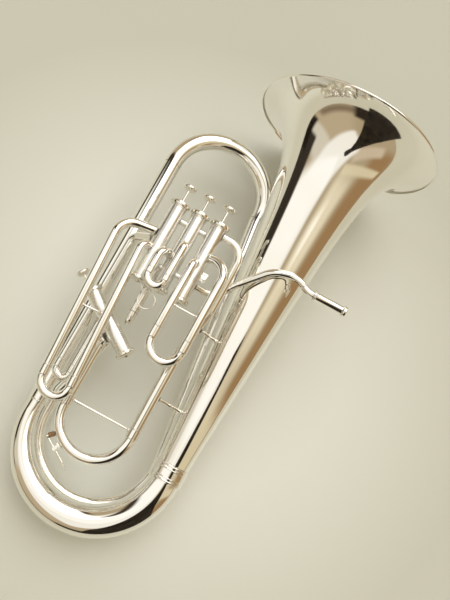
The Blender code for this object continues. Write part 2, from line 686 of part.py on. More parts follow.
def build_finger_ring(root):
    """A fixed finger ring on a short rod under the third valve."""
    steps = 16
    bm = bmesh.new()
    bmesh.ops.create_circle(bm, segments=6, radius=RING_WIRE)
    bmesh.ops.rotate(bm, verts=bm.verts, cent=(0, 0, 0), matrix=Matrix.Rotation(math.pi / 2, 3, "X"))
    bmesh.ops.translate(bm, verts=bm.verts, vec=(RING_RADIUS, 0, 0))
    bmesh.ops.spin(bm, geom=bm.verts[:] + bm.edges[:], cent=(0, 0, 0), axis=(0, 0, 1), dvec=(0, 0, 0),
                   angle=2 * math.pi, steps=steps, use_merge=True, use_duplicate=False)
    bmesh.ops.remove_doubles(bm, verts=bm.verts, dist=0.00001)
    bmesh.ops.translate(bm, verts=bm.verts, vec=RING_CENTRE)
    ring = add_object("finger_ring", bm, root)
    foot = RING_CENTRE + Vector((-0.0100, 0.0070, 0.0))
    head = Vector((VALVE_X[2] + 0.0075, VALVE_BOTTOM_Y - 0.0012, VALVE_Z))
    fuse(ring, add_object("ring_rod", cylinder(foot, head, 0.0011), root))


def build_lyre_holder(root):
    """The music lyre's square socket in front of the first valve, with its thumb screw."""
    centre = Vector((-0.0875, 0.258, 0.0755))
    socket = block(centre, Vector((0.0040, 0, 0)), Vector((0, 0.0065, 0)), Vector((0, 0, 0.0040)))
    holder = add_object("lyre_holder", socket, root)
    hole = block(centre, Vector((0.0022, 0, 0)), Vector((0, 0.012, 0)), Vector((0, 0, 0.0022)))
    cutter = add_object("lyre_hole", hole, root)
    cutter.hide_render = True
    cutter.display_type = "WIRE"
    cut = holder.modifiers.new("hole", "BOOLEAN")
    cut.operation = "DIFFERENCE"
    cut.object = cutter
    screw_foot = centre + Vector((0, 0, 0.0040 + GAP))
    profile = [(0.0, 0.0), (0.0014, 0.0), (0.0014, 0.0030), (0.0040, 0.0030), (0.0044, 0.0040),
               (0.0044, 0.0058), (0.0040, 0.0066), (0.0, 0.0066)]
    pivot = add_empty("lyre_screw_axis", screw_foot, root)
    add_object("lyre_screw", turn(profile, screw_foot, (0, 0, 1), 12), pivot)


def build_bell_braces(root):
    """Two stays between the bell and the tubes beside it."""
    stays = (("bell_brace_upper", Vector((-0.0618, 0.197, 0.0475)), Vector((0.0, 0.197, 0.0)), 0.0067),
             ("bell_brace_lower", Vector((-0.0692, 0.085, 0.0400)), Vector((0.0, 0.085, 0.0)), 0.0086))
    for name, tube, axis, clearance in stays:
        way = (axis - tube).normalized()
        start = tube + way * clearance
        length = (axis - tube).length - clearance - bell_radius(tube.y) - 2 * GAP
        profile = [(0.0, 0.0), (0.0042, 0.0), (0.0042, 0.0010), (0.0023, 0.0022), (0.0023, length - 0.0022),
                   (0.0042, length - 0.0010), (0.0042, length), (0.0, length)]
        add_object(name, turn(profile, start, way, 10), root)


# ================================================================ assembly
def lay_down(root):
    """Tip the instrument on its back, standing on the ground and centred over the origin."""
    root.matrix_world = Matrix.Rotation(LYING_TILT, 4, "X") @ Matrix.Rotation(LYING_ROLL, 4, "Y")
    bpy.context.view_layer.update()
    points = []
    for item in bpy.data.objects:
        if item.type == "MESH" and not item.hide_render:
            points += [item.matrix_world @ vert.co for vert in item.data.vertices]
    low = Vector([min(point[axis] for point in points) for axis in range(3)])
    high = Vector([max(point[axis] for point in points) for axis in range(3)])
    middle = (low + high) / 2
    root.location = (-middle.x, -middle.y, -low.z)


def main():
    clear_scene()
    root = add_empty("euphonium", (0, 0, 0))
    build_bell(root)
    build_bell_ferrule(root)
    build_bottom_bow(root)
    build_outer_branch(root)
    build_top_bow(root)
    build_inner_branch(root)
    build_inner_bow(root)
    build_valves(root)
    build_first_slide(root)
    build_second_slide(root)
    build_third_slide(root)
    build_main_slide(root)
    build_rear_slide(root)
    build_loop_slide(root)
    build_leadpipe(root)
    build_receiver(root)
    build_finger_ring(root)
    build_lyre_holder(root)
    build_bell_braces(root)
    lay_down(root)


main()
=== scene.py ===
"""Looks for the lying euphonium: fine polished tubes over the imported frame, silver plate,
pale paper floor and soft studio light.

Shapes are drawn in the instrument's own frame, the one part.py uses: X towards the bell's
side, Y along the bell to its mouth, Z to the valve side, origin at the bell and bow joint.
`seat` is the matrix that lays that frame down in the world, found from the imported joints.
"""

import json
import math

import bmesh
import bpy
from mathutils import Matrix, Vector


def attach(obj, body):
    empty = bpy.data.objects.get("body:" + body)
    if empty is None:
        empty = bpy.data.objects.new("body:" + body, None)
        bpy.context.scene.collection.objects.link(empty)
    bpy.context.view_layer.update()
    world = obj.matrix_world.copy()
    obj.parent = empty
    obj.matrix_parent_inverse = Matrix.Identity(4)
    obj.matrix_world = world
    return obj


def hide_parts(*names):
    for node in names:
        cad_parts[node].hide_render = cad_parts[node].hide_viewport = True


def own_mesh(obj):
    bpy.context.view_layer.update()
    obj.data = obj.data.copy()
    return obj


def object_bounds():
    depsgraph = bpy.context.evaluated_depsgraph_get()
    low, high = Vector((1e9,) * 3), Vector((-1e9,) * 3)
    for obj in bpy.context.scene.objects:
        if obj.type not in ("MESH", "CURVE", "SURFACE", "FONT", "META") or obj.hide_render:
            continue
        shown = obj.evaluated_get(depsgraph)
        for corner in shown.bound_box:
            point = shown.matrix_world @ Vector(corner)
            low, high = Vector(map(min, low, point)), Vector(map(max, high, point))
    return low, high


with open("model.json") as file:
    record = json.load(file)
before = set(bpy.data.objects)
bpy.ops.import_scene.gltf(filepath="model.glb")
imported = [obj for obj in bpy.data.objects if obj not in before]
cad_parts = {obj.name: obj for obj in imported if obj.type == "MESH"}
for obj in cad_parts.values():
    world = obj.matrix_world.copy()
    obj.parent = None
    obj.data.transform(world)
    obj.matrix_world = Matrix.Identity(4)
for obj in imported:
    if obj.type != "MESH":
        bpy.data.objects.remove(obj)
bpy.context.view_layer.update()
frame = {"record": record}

# ---------------------------------------------------------------- instrument placement
LYING_TILT = math.radians(7.4)
LYING_ROLL = math.radians(-6.4)
LYRE_SCREW_FOOT = Vector((-0.0875, 0.258, 0.0798))

# ---------------------------------------------------------------- mesh fineness
ROUND = 96
BIG_SIDES = 48
TUBE_SIDES = 28
BEND_STEPS = 14

# ---------------------------------------------------------------- shared sizes, as part.py
GAP = 0.0003
WALL = 0.0009
BELL_LENGTH = 0.585
BELL_THROAT_RADIUS = 0.0226
BELL_CONE_SLOPE = 0.078
BELL_RIM_RADIUS = 0.150
BELL_FLARE_REACH = 0.070
BELL_FLARE_POWER = 2.2
RIM_BEAD = 0.0022
BOW_RADIUS = 0.106
BOW_CENTRE_Y = -0.008
BOW_SMALL_END_Y = 0.012
BRANCH_TOP = Vector((-0.217, 0.408, 0.0))
INNER_BRANCH_TOP = Vector((-0.0620, 0.408, -0.0412))
INNER_BRANCH_FOOT = Vector((-0.017, 0.002, -0.036))
BRANCH_STUB = 0.006
INNER_BOW_LEFT_X = -0.199
INNER_BOW_CENTRE_Y = -0.003
INNER_BOW_TUBE = 0.0092
RISER_FOOT_Y = 0.030
RISER_TOP = Vector((-0.170, 0.139, 0.030))
VALVE_X = (-0.104, -0.136, -0.168)
VALVE_Z = 0.060
VALVE_BOTTOM_Y = 0.214
VALVE_LENGTH = 0.1285
SIDE_VALVE_BOTTOM = Vector((-0.1305, 0.1155, 0.048))
SIDE_VALVE_ANGLE = math.radians(146.4)
SIDE_VALVE_LENGTH = 0.106
CASING_RADIUS = 0.0116
CAP_RADIUS = 0.0147
CAP_HEIGHT = 0.0058
SIDE_CASING_RADIUS = 0.0112
PISTON_RADIUS = 0.0100
PISTON_LENGTH = 0.062
STEM_RADIUS = 0.0017
BUTTON_RADIUS = 0.0100
BUTTON_RISE = 0.0285
# The valve slides are drawn a little thicker than the collision solids, the hidden loop slide as thick;
# LOOP_OUTERS are its leg, ferrule and crook.
SLEEVE_OUTER = 0.0065
LEG_OUTER = 0.0051
CROOK_OUTER = 0.0062
FERRULE_OUTER = 0.0069
LOOP_OUTERS = (0.0046, 0.0060, 0.0052)
MAIN_SLEEVE_OUTER = 0.0081
MAIN_LEG_OUTER = 0.0068
MAIN_CROOK_OUTER = 0.0075
MAIN_FERRULE_OUTER = 0.0086
FRONT_SLIDE_Z = 0.0815
THIRD_SLIDE_Z = 0.077
THIRD_SLIDE_LEAN = math.radians(3.6)
MAIN_SLIDE_Z = 0.040
REAR_SLIDE_Z = 0.024
BRACE_RADIUS = 0.0016
MAIN_BRACE_RADIUS = 0.0021
LEADPIPE_OUTER = 0.0052
LEADPIPE_Z = 0.064
RECEIVER_Y = 0.316
RECEIVER_START_X = 0.060
RECEIVER_END_X = 0.112
RECEIVER_OUTER = 0.0066
RECEIVER_BORE = 0.0052
RECEIVER_RING = 0.0083
RING_CENTRE = Vector((-0.143, 0.195, 0.060))
RING_RADIUS = 0.0122
RING_WIRE = 0.0010
KEY_ANGLE = math.radians(241.0)
KEY_PIN_RISE = 0.0085

# ---------------------------------------------------------------- camera, in the instrument's frame
CAMERA_PLACE = Vector((-0.047, 0.040, 1.063))
CAMERA_TILT = math.radians(11.77)
CAMERA_ROLL = math.radians(28.66)
CAMERA_LENS = 29.12
SENSOR_HEIGHT = 24.0

# ---------------------------------------------------------------- studio room
# Each panel: azimuth from +Y to +X, elevation, tilt, half length, half width, soft edge
# (all in degrees) and its colour; later panels lie over earlier ones.
ROOM_COLOUR = (0.43, 0.34, 0.21)
ROOM_STRENGTH = 1.0
# Painted shade: the paper's colour half a metre from the middle, darkened where light falls off towards its
# edges.
PAPER_EDGE_SHADE = (0.79, 0.785, 0.74)
ROOM_PANELS = {
    "side_wall": (92, 14, 0, 34, 20, 10, (0.33, 0.20, 0.09)),
    "pale_door": (133, 36, 75, 24, 8, 4, (0.60, 0.49, 0.35)),
    "side_trim": (106, 38, 74, 36, 4, 2, (0.68, 0.58, 0.38)),
    "ceiling_bounce": (76, 62, 90, 18, 16, 9, (0.80, 0.70, 0.50)),
    "rear_wall": (-148, 22, 0, 24, 24, 8, (0.50, 0.40, 0.26)),
    "rear_low": (-155, 2, 0, 20, 5, 5, (0.22, 0.16, 0.10)),
    "left_wall": (-112, 24, 0, 13, 26, 4, (0.66, 0.60, 0.48)),
    "rear_ceiling": (-128, 66, 0, 42, 21, 4, (0.93, 0.89, 0.80)),
    "ceiling_softbox": (6, 59, 0, 28, 27, 5, (2.10, 2.06, 1.95)),
    "strip_light": (-92, 54, 112, 34, 10, 4, (1.05, 1.02, 0.94)),
    "boom": (-69, 38, 90, 24, 5, 3, (0.05, 0.035, 0.02)),
    "stand": (-32, 34, 122, 10, 2.5, 2, (0.08, 0.06, 0.03)),
    "left_card": (-88, 8, 0, 22, 14, 3, (0.035, 0.028, 0.020)),
    "far_card": (172, 3, 0, 15, 9, 3, (0.03, 0.022, 0.015)),
    "low_card": (-110, 1, 0, 17, 6, 3, (0.015, 0.01, 0.006)),
}
# A dark card leaning over the instrument from low on the right: its middle line and half width.
DARK_CARD = (
    ((0.46, -0.93, 0.02), 0.42),
    ((0.46, -0.91, 0.62), 0.40),
    ((0.40, -0.66, 0.96), 0.25),
    ((0.30, -0.42, 1.12), 0.12),
    ((0.22, -0.30, 1.22), 0.06),
    ((0.13, -0.23, 1.26), 0.075),
    ((0.06, -0.19, 1.28), 0.05),
)


# ================================================================ placement
def find_seat():
    """The matrix that takes the instrument's frame to the world, from a packed joint."""
    turned = Matrix.Rotation(LYING_TILT, 4, "X") @ Matrix.Rotation(LYING_ROLL, 4, "Y")
    joints = {joint["name"]: joint for joint in frame["record"]["behaviour"]["joints"]}
    screw = Vector(joints["lyre_screw_turn"]["pos_m"])
    shift = screw - turned @ LYRE_SCREW_FOOT
    return Matrix.Translation(shift) @ turned


seat = find_seat()


# ================================================================ mesh helpers
def join(*meshes):
    """One mesh holding copies of several; the others are freed."""
    whole = bmesh.new()
    for part in meshes:
        scratch = bpy.data.meshes.new("scratch")
        part.to_mesh(scratch)
        part.free()
        whole.from_mesh(scratch)
        bpy.data.meshes.remove(scratch)
    return whole


def piece(name, bm, body, material, *nodes, sharp=38):
    """Turn an instrument-frame mesh into a visible piece that rides on a body."""
    bmesh.ops.recalc_face_normals(bm, faces=bm.faces)
    mesh = bpy.data.meshes.new(name)
    bm.to_mesh(mesh)
    bm.free()
    mesh.transform(seat)
    mesh.shade_smooth()
    mesh.set_sharp_from_angle(angle=math.radians(sharp))
    mesh.materials.append(material)
    item = bpy.data.objects.new(name, mesh)
    bpy.context.scene.collection.objects.link(item)
    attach(item, body)
    if nodes:
        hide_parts(*nodes)
    return item


def polar(centre, radius, angle):
    return centre + Vector((math.cos(angle), math.sin(angle), 0.0)) * radius


def arc(centre, radius, start, stop, steps):
    return [polar(centre, radius, start + (stop - start) * i / steps) for i in range(steps + 1)]


def rounded_route(corners, bend_radius, steps=BEND_STEPS):
    """A route through the corners with each inner corner rounded to an arc."""
    route = [corners[0]]
    for before, corner, after in zip(corners, corners[1:], corners[2:]):
        incoming = (corner - before).normalized()
        outgoing = (after - corner).normalized()
        bend = incoming.angle(outgoing)
        reach = min(bend_radius * math.tan(bend / 2), 0.9 * (after - corner).length,
                    0.9 * (corner - before).length)
        radius = reach / math.tan(bend / 2)
        inward = (outgoing - incoming).normalized()
        centre = corner + inward * (radius / math.cos(bend / 2))
        spoke = (corner - incoming * reach) - centre
        axis = incoming.cross(outgoing).normalized()
        for i in range(steps + 1):
            route.append(centre + Matrix.Rotation(bend * i / steps, 3, axis) @ spoke)
    route.append(corners[-1])
    return route


def sweep(route, outer, bore=None, sides=TUBE_SIDES, up=(0, 0, 1)):
    """A tube along a route; outer and bore are radii, one value or one for each point."""
    count = len(route)
    outers = outer if isinstance(outer, list) else [outer] * count
    bores = bore if isinstance(bore, list) or bore is None else [bore] * count
    steps = [(b - a).normalized() for a, b in zip(route, route[1:])]
    tangents = [steps[0]]
    tangents += [(a + b).normalized() for a, b in zip(steps, steps[1:])]
    tangents.append(steps[-1])
    side = Vector(up)
    bm = bmesh.new()
    skins = [[], []]
    for i, (point, tangent) in enumerate(zip(route, tangents)):
        if i:
            side = tangents[i - 1].rotation_difference(tangent) @ side
        side = (side - tangent * side.dot(tangent)).normalized()
        across = tangent.cross(side)
        for skin, radii in zip(skins, (outers, bores)):
            if radii is None:
                continue
            loop = []
            for k in range(sides):
                angle = 2 * math.pi * k / sides
                offset = side * math.cos(angle) + across * math.sin(angle)
                loop.append(bm.verts.new(point + offset * radii[i]))
            skin.append(loop)
    for skin in skins:
        for low, high in zip(skin, skin[1:]):
            for k in range(sides):
                bm.faces.new((low[k], low[k - 1], high[k - 1], high[k]))
    for end in (0, -1):
        if bores is None:
            bm.faces.new(skins[0][end])
            continue
        for k in range(sides):
            outer_loop, inner_loop = skins[0][end], skins[1][end]
            bm.faces.new((outer_loop[k], outer_loop[k - 1], inner_loop[k - 1], inner_loop[k]))
    return bm


def axis_frame(origin, direction):
    """The placement whose Z runs along the direction and whose X faces the valve side."""
    z_axis = Vector(direction).normalized()
    x_axis = Vector((0, 0, 1)) if abs(z_axis.z) < 0.9 else Vector((0, 1, 0))
    x_axis = (x_axis - z_axis * x_axis.dot(z_axis)).normalized()
    y_axis = z_axis.cross(x_axis)
    turned = Matrix((x_axis, y_axis, z_axis)).transposed().to_4x4()
    return Matrix.Translation(Vector(origin)) @ turned


def turn(profile, origin, direction, sides=BIG_SIDES):
    """Spin a profile of (radius, height) points about an axis through the origin."""
    solid = profile[0][0] == 0.0
    bm = bmesh.new()
    verts = [bm.verts.new((radius, 0.0, height)) for radius, height in profile]
    edges = [bm.edges.new(pair) for pair in zip(verts, verts[1:])]
    if not solid:
        edges.append(bm.edges.new((verts[-1], verts[0])))
    bmesh.ops.spin(bm, geom=verts + edges, cent=(0, 0, 0), axis=(0, 0, 1), dvec=(0, 0, 0),
                   angle=2 * math.pi, steps=sides, use_merge=True, use_duplicate=False)
    bmesh.ops.remove_doubles(bm, verts=bm.verts, dist=0.00001)
    bmesh.ops.transform(bm, verts=bm.verts, matrix=axis_frame(origin, direction))
    return bm


def bead(radius, height, thickness, steps=8):
    """Half-round points that stand out from a wall, for a ring's outer edge."""
    points = []
    for i in range(steps + 1):
        angle = -math.pi / 2 + math.pi * i / steps
        points.append((radius + thickness * math.cos(angle), height + thickness * math.sin(angle)))
    return points


def ring_band(bore, outer, length, beads, origin, direction, sides=BIG_SIDES):
    """A sleeve with half-round rings; each bead is (height, thickness)."""
    half = length / 2
    profile = [(bore, -half), (outer - 0.0002, -half), (outer, 0.0002 - half)]
    for height, thickness in beads:
        profile += bead(outer, height, thickness)
    profile += [(outer, half - 0.0002), (outer - 0.0002, half), (bore, half)]
    return turn(profile, origin, direction, sides)


def rod(start, stop, radius, sides=20):
    return sweep([Vector(start), Vector(stop)], radius, sides=sides, up=(0.02, 0.03, 1))


def block(centre, half_x, half_y, half_z, bevel=0.0003):
    """A softened box from its centre and three half edges."""
    bm = bmesh.new()
    bmesh.ops.create_cube(bm, size=2.0)
    edges = Matrix((half_x, half_y, half_z)).transposed().to_4x4()
    bmesh.ops.transform(bm, verts=bm.verts, matrix=Matrix.Translation(centre) @ edges)
    bmesh.ops.bevel(bm, geom=bm.edges[:], offset=bevel, segments=2, affect="EDGES", profile=0.5)
    return bm


# ================================================================ materials
def new_material(name):
    """A node material with a Principled shader; returns (material, tree, shader)."""
    material = bpy.data.materials.new(name)
    material.use_nodes = True
    tree = material.node_tree
    return material, tree, tree.nodes["Principled BSDF"]


def noise(tree, scale, detail=3.0, stretch=None):
    """A noise value over the object's own space, optionally stretched along an axis."""
    place = tree.nodes.new("ShaderNodeTexCoord")
    source = place.outputs["Object"]
    if stretch is not None:
        mapping = tree.nodes.new("ShaderNodeMapping")
        mapping.inputs["Scale"].default_value = stretch
        tree.links.new(source, mapping.inputs["Vector"])
        source = mapping.outputs["Vector"]
    texture = tree.nodes.new("ShaderNodeTexNoise")
    texture.inputs["Scale"].default_value = scale
    texture.inputs["Detail"].default_value = detail
    tree.links.new(source, texture.inputs["Vector"])
    return texture.outputs["Fac"]


def ramp(tree, value, low, high, start=0.35, stop=0.65):
    """Map a value to a colour between two colours."""
    node = tree.nodes.new("ShaderNodeValToRGB")
    node.color_ramp.elements[0].position = start
    node.color_ramp.elements[1].position = stop
    node.color_ramp.elements[0].color = (*low, 1.0)
    node.color_ramp.elements[1].color = (*high, 1.0)
    tree.links.new(value, node.inputs["Fac"])
    return node.outputs["Color"]


def spread(tree, value, low, high):
    """Map a value from 0..1 to a number range."""
    node = tree.nodes.new("ShaderNodeMapRange")
    node.inputs["To Min"].default_value = low
    node.inputs["To Max"].default_value = high
    tree.links.new(value, node.inputs["Value"])
    return node.outputs["Result"]


def relief(tree, shader, value, strength, distance):
    node = tree.nodes.new("ShaderNodeBump")
    node.inputs["Strength"].default_value = strength
    node.inputs["Distance"].default_value = distance
    tree.links.new(value, node.inputs["Height"])
    tree.links.new(node.outputs["Normal"], shader.inputs["Normal"])


def silver_plate(name="silver_plate"):
    """Mirror-polished silver: faint warm tarnish, wipe marks and hand-burnished waviness."""
    material, tree, shader = new_material(name)
    tarnish = noise(tree, 9.0, 4.0)
    tree.links.new(ramp(tree, tarnish, (0.93, 0.905, 0.85), (0.97, 0.955, 0.92)), shader.inputs["Base Color"])
    wipes = noise(tree, 60.0, 5.0, (1.0, 0.25, 1.0))
    tree.links.new(spread(tree, wipes, 0.03, 0.10), shader.inputs["Roughness"])
    relief(tree, shader, noise(tree, 14.0, 1.0), 0.25, 0.0008)
    shader.inputs["Metallic"].default_value = 1.0
    return material


def satin_silver(name="satin_silver"):
    """Silver with the lapped, silky finish of the valve casings."""
    material, tree, shader = new_material(name)
    cloud = noise(tree, 20.0, 3.0)
    tree.links.new(ramp(tree, cloud, (0.92, 0.90, 0.86), (0.97, 0.96, 0.93)), shader.inputs["Base Color"])
    lines = noise(tree, 900.0, 2.0, (1.0, 0.05, 1.0))
    tree.links.new(spread(tree, lines, 0.22, 0.34), shader.inputs["Roughness"])
    relief(tree, shader, lines, 0.10, 0.0001)
    shader.inputs["Metallic"].default_value = 1.0
    return material


def cream_silver(name="cream_silver"):
    """Silver of the caps, buttons and thin wire, softer and a little warmer."""
    material, tree, shader = new_material(name)
    cloud = noise(tree, 45.0, 3.0)
    tree.links.new(ramp(tree, cloud, (0.91, 0.88, 0.80), (0.96, 0.94, 0.88)), shader.inputs["Base Color"])
    wipes = noise(tree, 240.0, 4.0)
    tree.links.new(spread(tree, wipes, 0.12, 0.24), shader.inputs["Roughness"])
    relief(tree, shader, wipes, 0.08, 0.0001)
    shader.inputs["Metallic"].default_value = 1.0
    return material


def bare_nickel(name="bare_nickel"):
    """Grey nickel alloy with fine lapping marks, for the pistons and inner legs."""
    material, tree, shader = new_material(name)
    marks = noise(tree, 700.0, 3.0, (1.0, 0.1, 1.0))
    tree.links.new(ramp(tree, marks, (0.62, 0.61, 0.58), (0.74, 0.73, 0.70)), shader.inputs["Base Color"])
    tree.links.new(spread(tree, marks, 0.16, 0.30), shader.inputs["Roughness"])
    shader.inputs["Metallic"].default_value = 1.0
    return material


def spring_steel(name="spring_steel"):
    material, tree, shader = new_material(name)
    marks = noise(tree, 400.0, 3.0)
    tree.links.new(ramp(tree, marks, (0.42, 0.42, 0.42), (0.60, 0.60, 0.60)), shader.inputs["Base Color"])
    tree.links.new(spread(tree, marks, 0.25, 0.40), shader.inputs["Roughness"])
    shader.inputs["Metallic"].default_value = 1.0
    return material


def cork(name="cork"):
    """Brown granular cork for the water key's stopper."""
    material, tree, shader = new_material(name)
    grain = noise(tree, 900.0, 5.0)
    tree.links.new(ramp(tree, grain, (0.16, 0.08, 0.035), (0.42, 0.26, 0.13)), shader.inputs["Base Color"])
    tree.links.new(spread(tree, grain, 0.75, 0.95), shader.inputs["Roughness"])
    relief(tree, shader, grain, 0.6, 0.0003)
    return material


def felt(name="felt"):
    """Off-white felt of the washers under the finger buttons."""
    material, tree, shader = new_material(name)
    fuzz = noise(tree, 1500.0, 6.0)
    tree.links.new(ramp(tree, fuzz, (0.62, 0.58, 0.48), (0.82, 0.79, 0.70)), shader.inputs["Base Color"])
    tree.links.new(spread(tree, fuzz, 0.85, 1.0), shader.inputs["Roughness"])
    relief(tree, shader, fuzz, 0.7, 0.0003)
    return material


def paper(name="paper"):
    """Pale warm studio paper with a slow drift in tone, painted shade darkening it towards its edges, and a
    fine tooth.
    """
    material, tree, shader = new_material(name)
    drift = noise(tree, 1.1, 2.0)
    tone = ramp(tree, drift, (0.80, 0.815, 0.752), (0.825, 0.842, 0.78))
    place = tree.nodes.new("ShaderNodeTexCoord")
    far = tree.nodes.new("ShaderNodeVectorMath")
    far.operation = "LENGTH"
    tree.links.new(place.outputs["Object"], far.inputs[0])
    # painted shade: the colour is multiplied down from 0.26 m to 0.52 m out, standing in for light falling
    # off
    painted_falloff = ramp(tree, far.outputs["Value"], (1.0, 1.0, 1.0), PAPER_EDGE_SHADE, 0.26, 0.52)
    product = tree.nodes.new("ShaderNodeMix")
    product.data_type = "RGBA"
    product.blend_type = "MULTIPLY"
    product.inputs["Factor"].default_value = 1.0
    tree.links.new(tone, product.inputs["A"])
    tree.links.new(painted_falloff, product.inputs["B"])
    tree.links.new(product.outputs["Result"], shader.inputs["Base Color"])
    tooth = noise(tree, 1400.0, 3.0)
    tree.links.new(spread(tree, tooth, 0.85, 0.95), shader.inputs["Roughness"])
    relief(tree, shader, tooth, 0.05, 0.0001)
    return material


def dark_cloth(name="dark_cloth"):
    """Matt black cloth of the studio card."""
    material, tree, shader = new_material(name)
    weave = noise(tree, 6.0, 4.0)
    tone = ramp(tree, weave, (0.012, 0.009, 0.007), (0.035, 0.026, 0.018))
    tree.links.new(tone, shader.inputs["Base Color"])
    shader.inputs["Roughness"].default_value = 0.95
    return material


SILVER = silver_plate()
SATIN = satin_silver()
CREAM = cream_silver()
NICKEL = bare_nickel()
STEEL = spring_steel()
CORK = cork()
FELT = felt()


# ================================================================ bell
def bell_radius(y):
    cone = BELL_THROAT_RADIUS + BELL_CONE_SLOPE * y
    flare = BELL_RIM_RADIUS - BELL_THROAT_RADIUS - BELL_CONE_SLOPE * BELL_LENGTH
    reach = BELL_FLARE_REACH / (BELL_FLARE_REACH + BELL_LENGTH - y)
    return cone + flare * reach ** BELL_FLARE_POWER


def make_bell():
    """Spun bell with a wire rolled into its rim."""
    count = 70
    last = BELL_LENGTH - 0.0004
    stations = [GAP + (last - GAP) * (1 - (1 - i / count) ** 2.4) for i in range(count + 1)]
    outside = [(bell_radius(y), y) for y in stations]
    inside = []
    for y in stations:
        slope = (bell_radius(y + 0.0002) - bell_radius(y)) / 0.0002
        normal = Vector((1.0, -slope)).normalized()
        inside.append((bell_radius(y) - normal.x * WALL, y - normal.y * WALL))
    inside[0] = (inside[0][0], stations[0])
    wire = []
    for i in range(13):
        angle = math.radians(-70 + 20 * i)
        wire.append((BELL_RIM_RADIUS - RIM_BEAD + RIM_BEAD * math.cos(angle),
                     BELL_LENGTH - 0.0006 + RIM_BEAD * math.sin(angle)))
    profile = outside[:-4] + wire + inside[:-4][::-1]
    bm = turn(profile, (0, 0, 0), (0, 1, 0), 2 * ROUND)
    piece("polished_bell", bm, "horn", SILVER, "bell", sharp=60)


def make_bell_ferrule():
    beads = [(-0.0105, 0.0012), (-0.0062, 0.0009), (0.0058, 0.0009), (0.0105, 0.0012)]
    bm = ring_band(0.0250, 0.0259, 0.026, beads, (0, 0.002, 0), (0, 1, 0), ROUND)
    piece("ringed_bell_ferrule", bm, "horn", SILVER, "bell_ferrule")


# ================================================================ bows and branches
def bow_tube_radius(share):
    return BELL_THROAT_RADIUS + 0.0094 * share - 0.0200 * share ** 2


def make_bottom_bow():
    centre = Vector((-BOW_RADIUS, BOW_CENTRE_Y, 0.0))
    route = [Vector((0.0, -GAP, 0.0))]
    route += arc(centre, BOW_RADIUS, 0.0, -math.pi, 72)
    route.append(Vector((-2 * BOW_RADIUS, BOW_SMALL_END_Y - GAP, 0.0)))
    last = len(route) - 2
    outer = [bow_tube_radius(i / last) for i in range(last + 1)]
    outer.append(outer[-1])
    bore = [radius - WALL for radius in outer]
    piece("polished_bottom_bow", sweep(route, outer, bore, BIG_SIDES), "horn", SILVER, "bottom_bow")


def make_branches():
    start = Vector((-2 * BOW_RADIUS, BOW_SMALL_END_Y + GAP, 0.0))
    stop = BRANCH_TOP - Vector((0, GAP, 0))
    bm = sweep([start, stop], [0.0118, 0.0130], [0.0109, 0.0121], BIG_SIDES)
    piece("polished_outer_branch", bm, "horn", SILVER, "outer_branch")
    centre = (-2 * BOW_RADIUS, BOW_SMALL_END_Y, 0.0)
    band = ring_band(0.0124, 0.0130, 0.020, [(-0.0078, 0.0009), (0.0078, 0.0009)], centre, (0, 1, 0))
    piece("ringed_bow_ferrule", band, "horn", SILVER, "bow_ferrule")
    gap = Vector((0, GAP, 0))
    stub = Vector((0, BRANCH_STUB, 0))
    route = [INNER_BRANCH_TOP - gap, INNER_BRANCH_TOP - stub,
             INNER_BRANCH_FOOT + stub, INNER_BRANCH_FOOT + gap]
    outer = [0.0123, 0.0123, 0.0094, 0.0094]
    bore = [radius - WALL for radius in outer]
    piece("polished_inner_branch", sweep(route, outer, bore, BIG_SIDES), "horn", SILVER, "inner_branch")


def make_top_bow():
    middle = (BRANCH_TOP + INNER_BRANCH_TOP) / 2
    half = (INNER_BRANCH_TOP - BRANCH_TOP) / 2
    steps = 60
    route = [BRANCH_TOP + Vector((0, GAP, 0))]
    for i in range(steps + 1):
        angle = math.pi * i / steps
        rise = BRANCH_STUB + (half.length - BRANCH_STUB) * math.sin(angle)
        route.append(middle - half * math.cos(angle) + Vector((0, rise, 0)))
    route.append(INNER_BRANCH_TOP + Vector((0, GAP, 0)))
    outer = [0.0133 - 0.0009 * i / (steps + 2) for i in range(steps + 3)]
    bore = [radius - WALL for radius in outer]
    piece("polished_top_bow", sweep(route, outer, bore, BIG_SIDES), "horn", SILVER, "top_bow")


def make_inner_bow():
    z = INNER_BRANCH_FOOT.z
    centre_x = (INNER_BRANCH_FOOT.x + INNER_BOW_LEFT_X) / 2
    radius = (INNER_BRANCH_FOOT.x - INNER_BOW_LEFT_X) / 2
    bend = arc(Vector((centre_x, INNER_BOW_CENTRE_Y, z)), radius, 0.0, -math.pi, 60)
    riser = [bend[-1], Vector((INNER_BOW_LEFT_X, RISER_FOOT_Y, z)),
             Vector((RISER_TOP.x, RISER_TOP.y, z)), RISER_TOP]
    route = [INNER_BRANCH_FOOT - Vector((0, GAP, 0))] + bend[:-1] + rounded_route(riser, 0.020)
    bm = sweep(route, INNER_BOW_TUBE, INNER_BOW_TUBE - WALL, 36)
    piece("polished_inner_bow", bm, "horn", SILVER, "inner_bow")


# ================================================================ valves
def knurled(profile, origin, direction, teeth, depth, low, high):
    """Like turn, with the wall between two heights pressed into fine teeth."""
    bm = turn(profile, (0, 0, 0), (0, 0, 1), teeth * 2)
    widest = max(radius for radius, _ in profile)
    for vert in bm.verts:
        radius = math.hypot(vert.co.x, vert.co.y)
        if radius > widest - 0.0002 and low <= vert.co.z <= high:
            step = round(math.atan2(vert.co.y, vert.co.x) * teeth / math.pi)
            if step % 2:
                vert.co.x *= (radius - depth) / radius
                vert.co.y *= (radius - depth) / radius
    bmesh.ops.transform(bm, verts=bm.verts, matrix=axis_frame(origin, direction))
    return bm


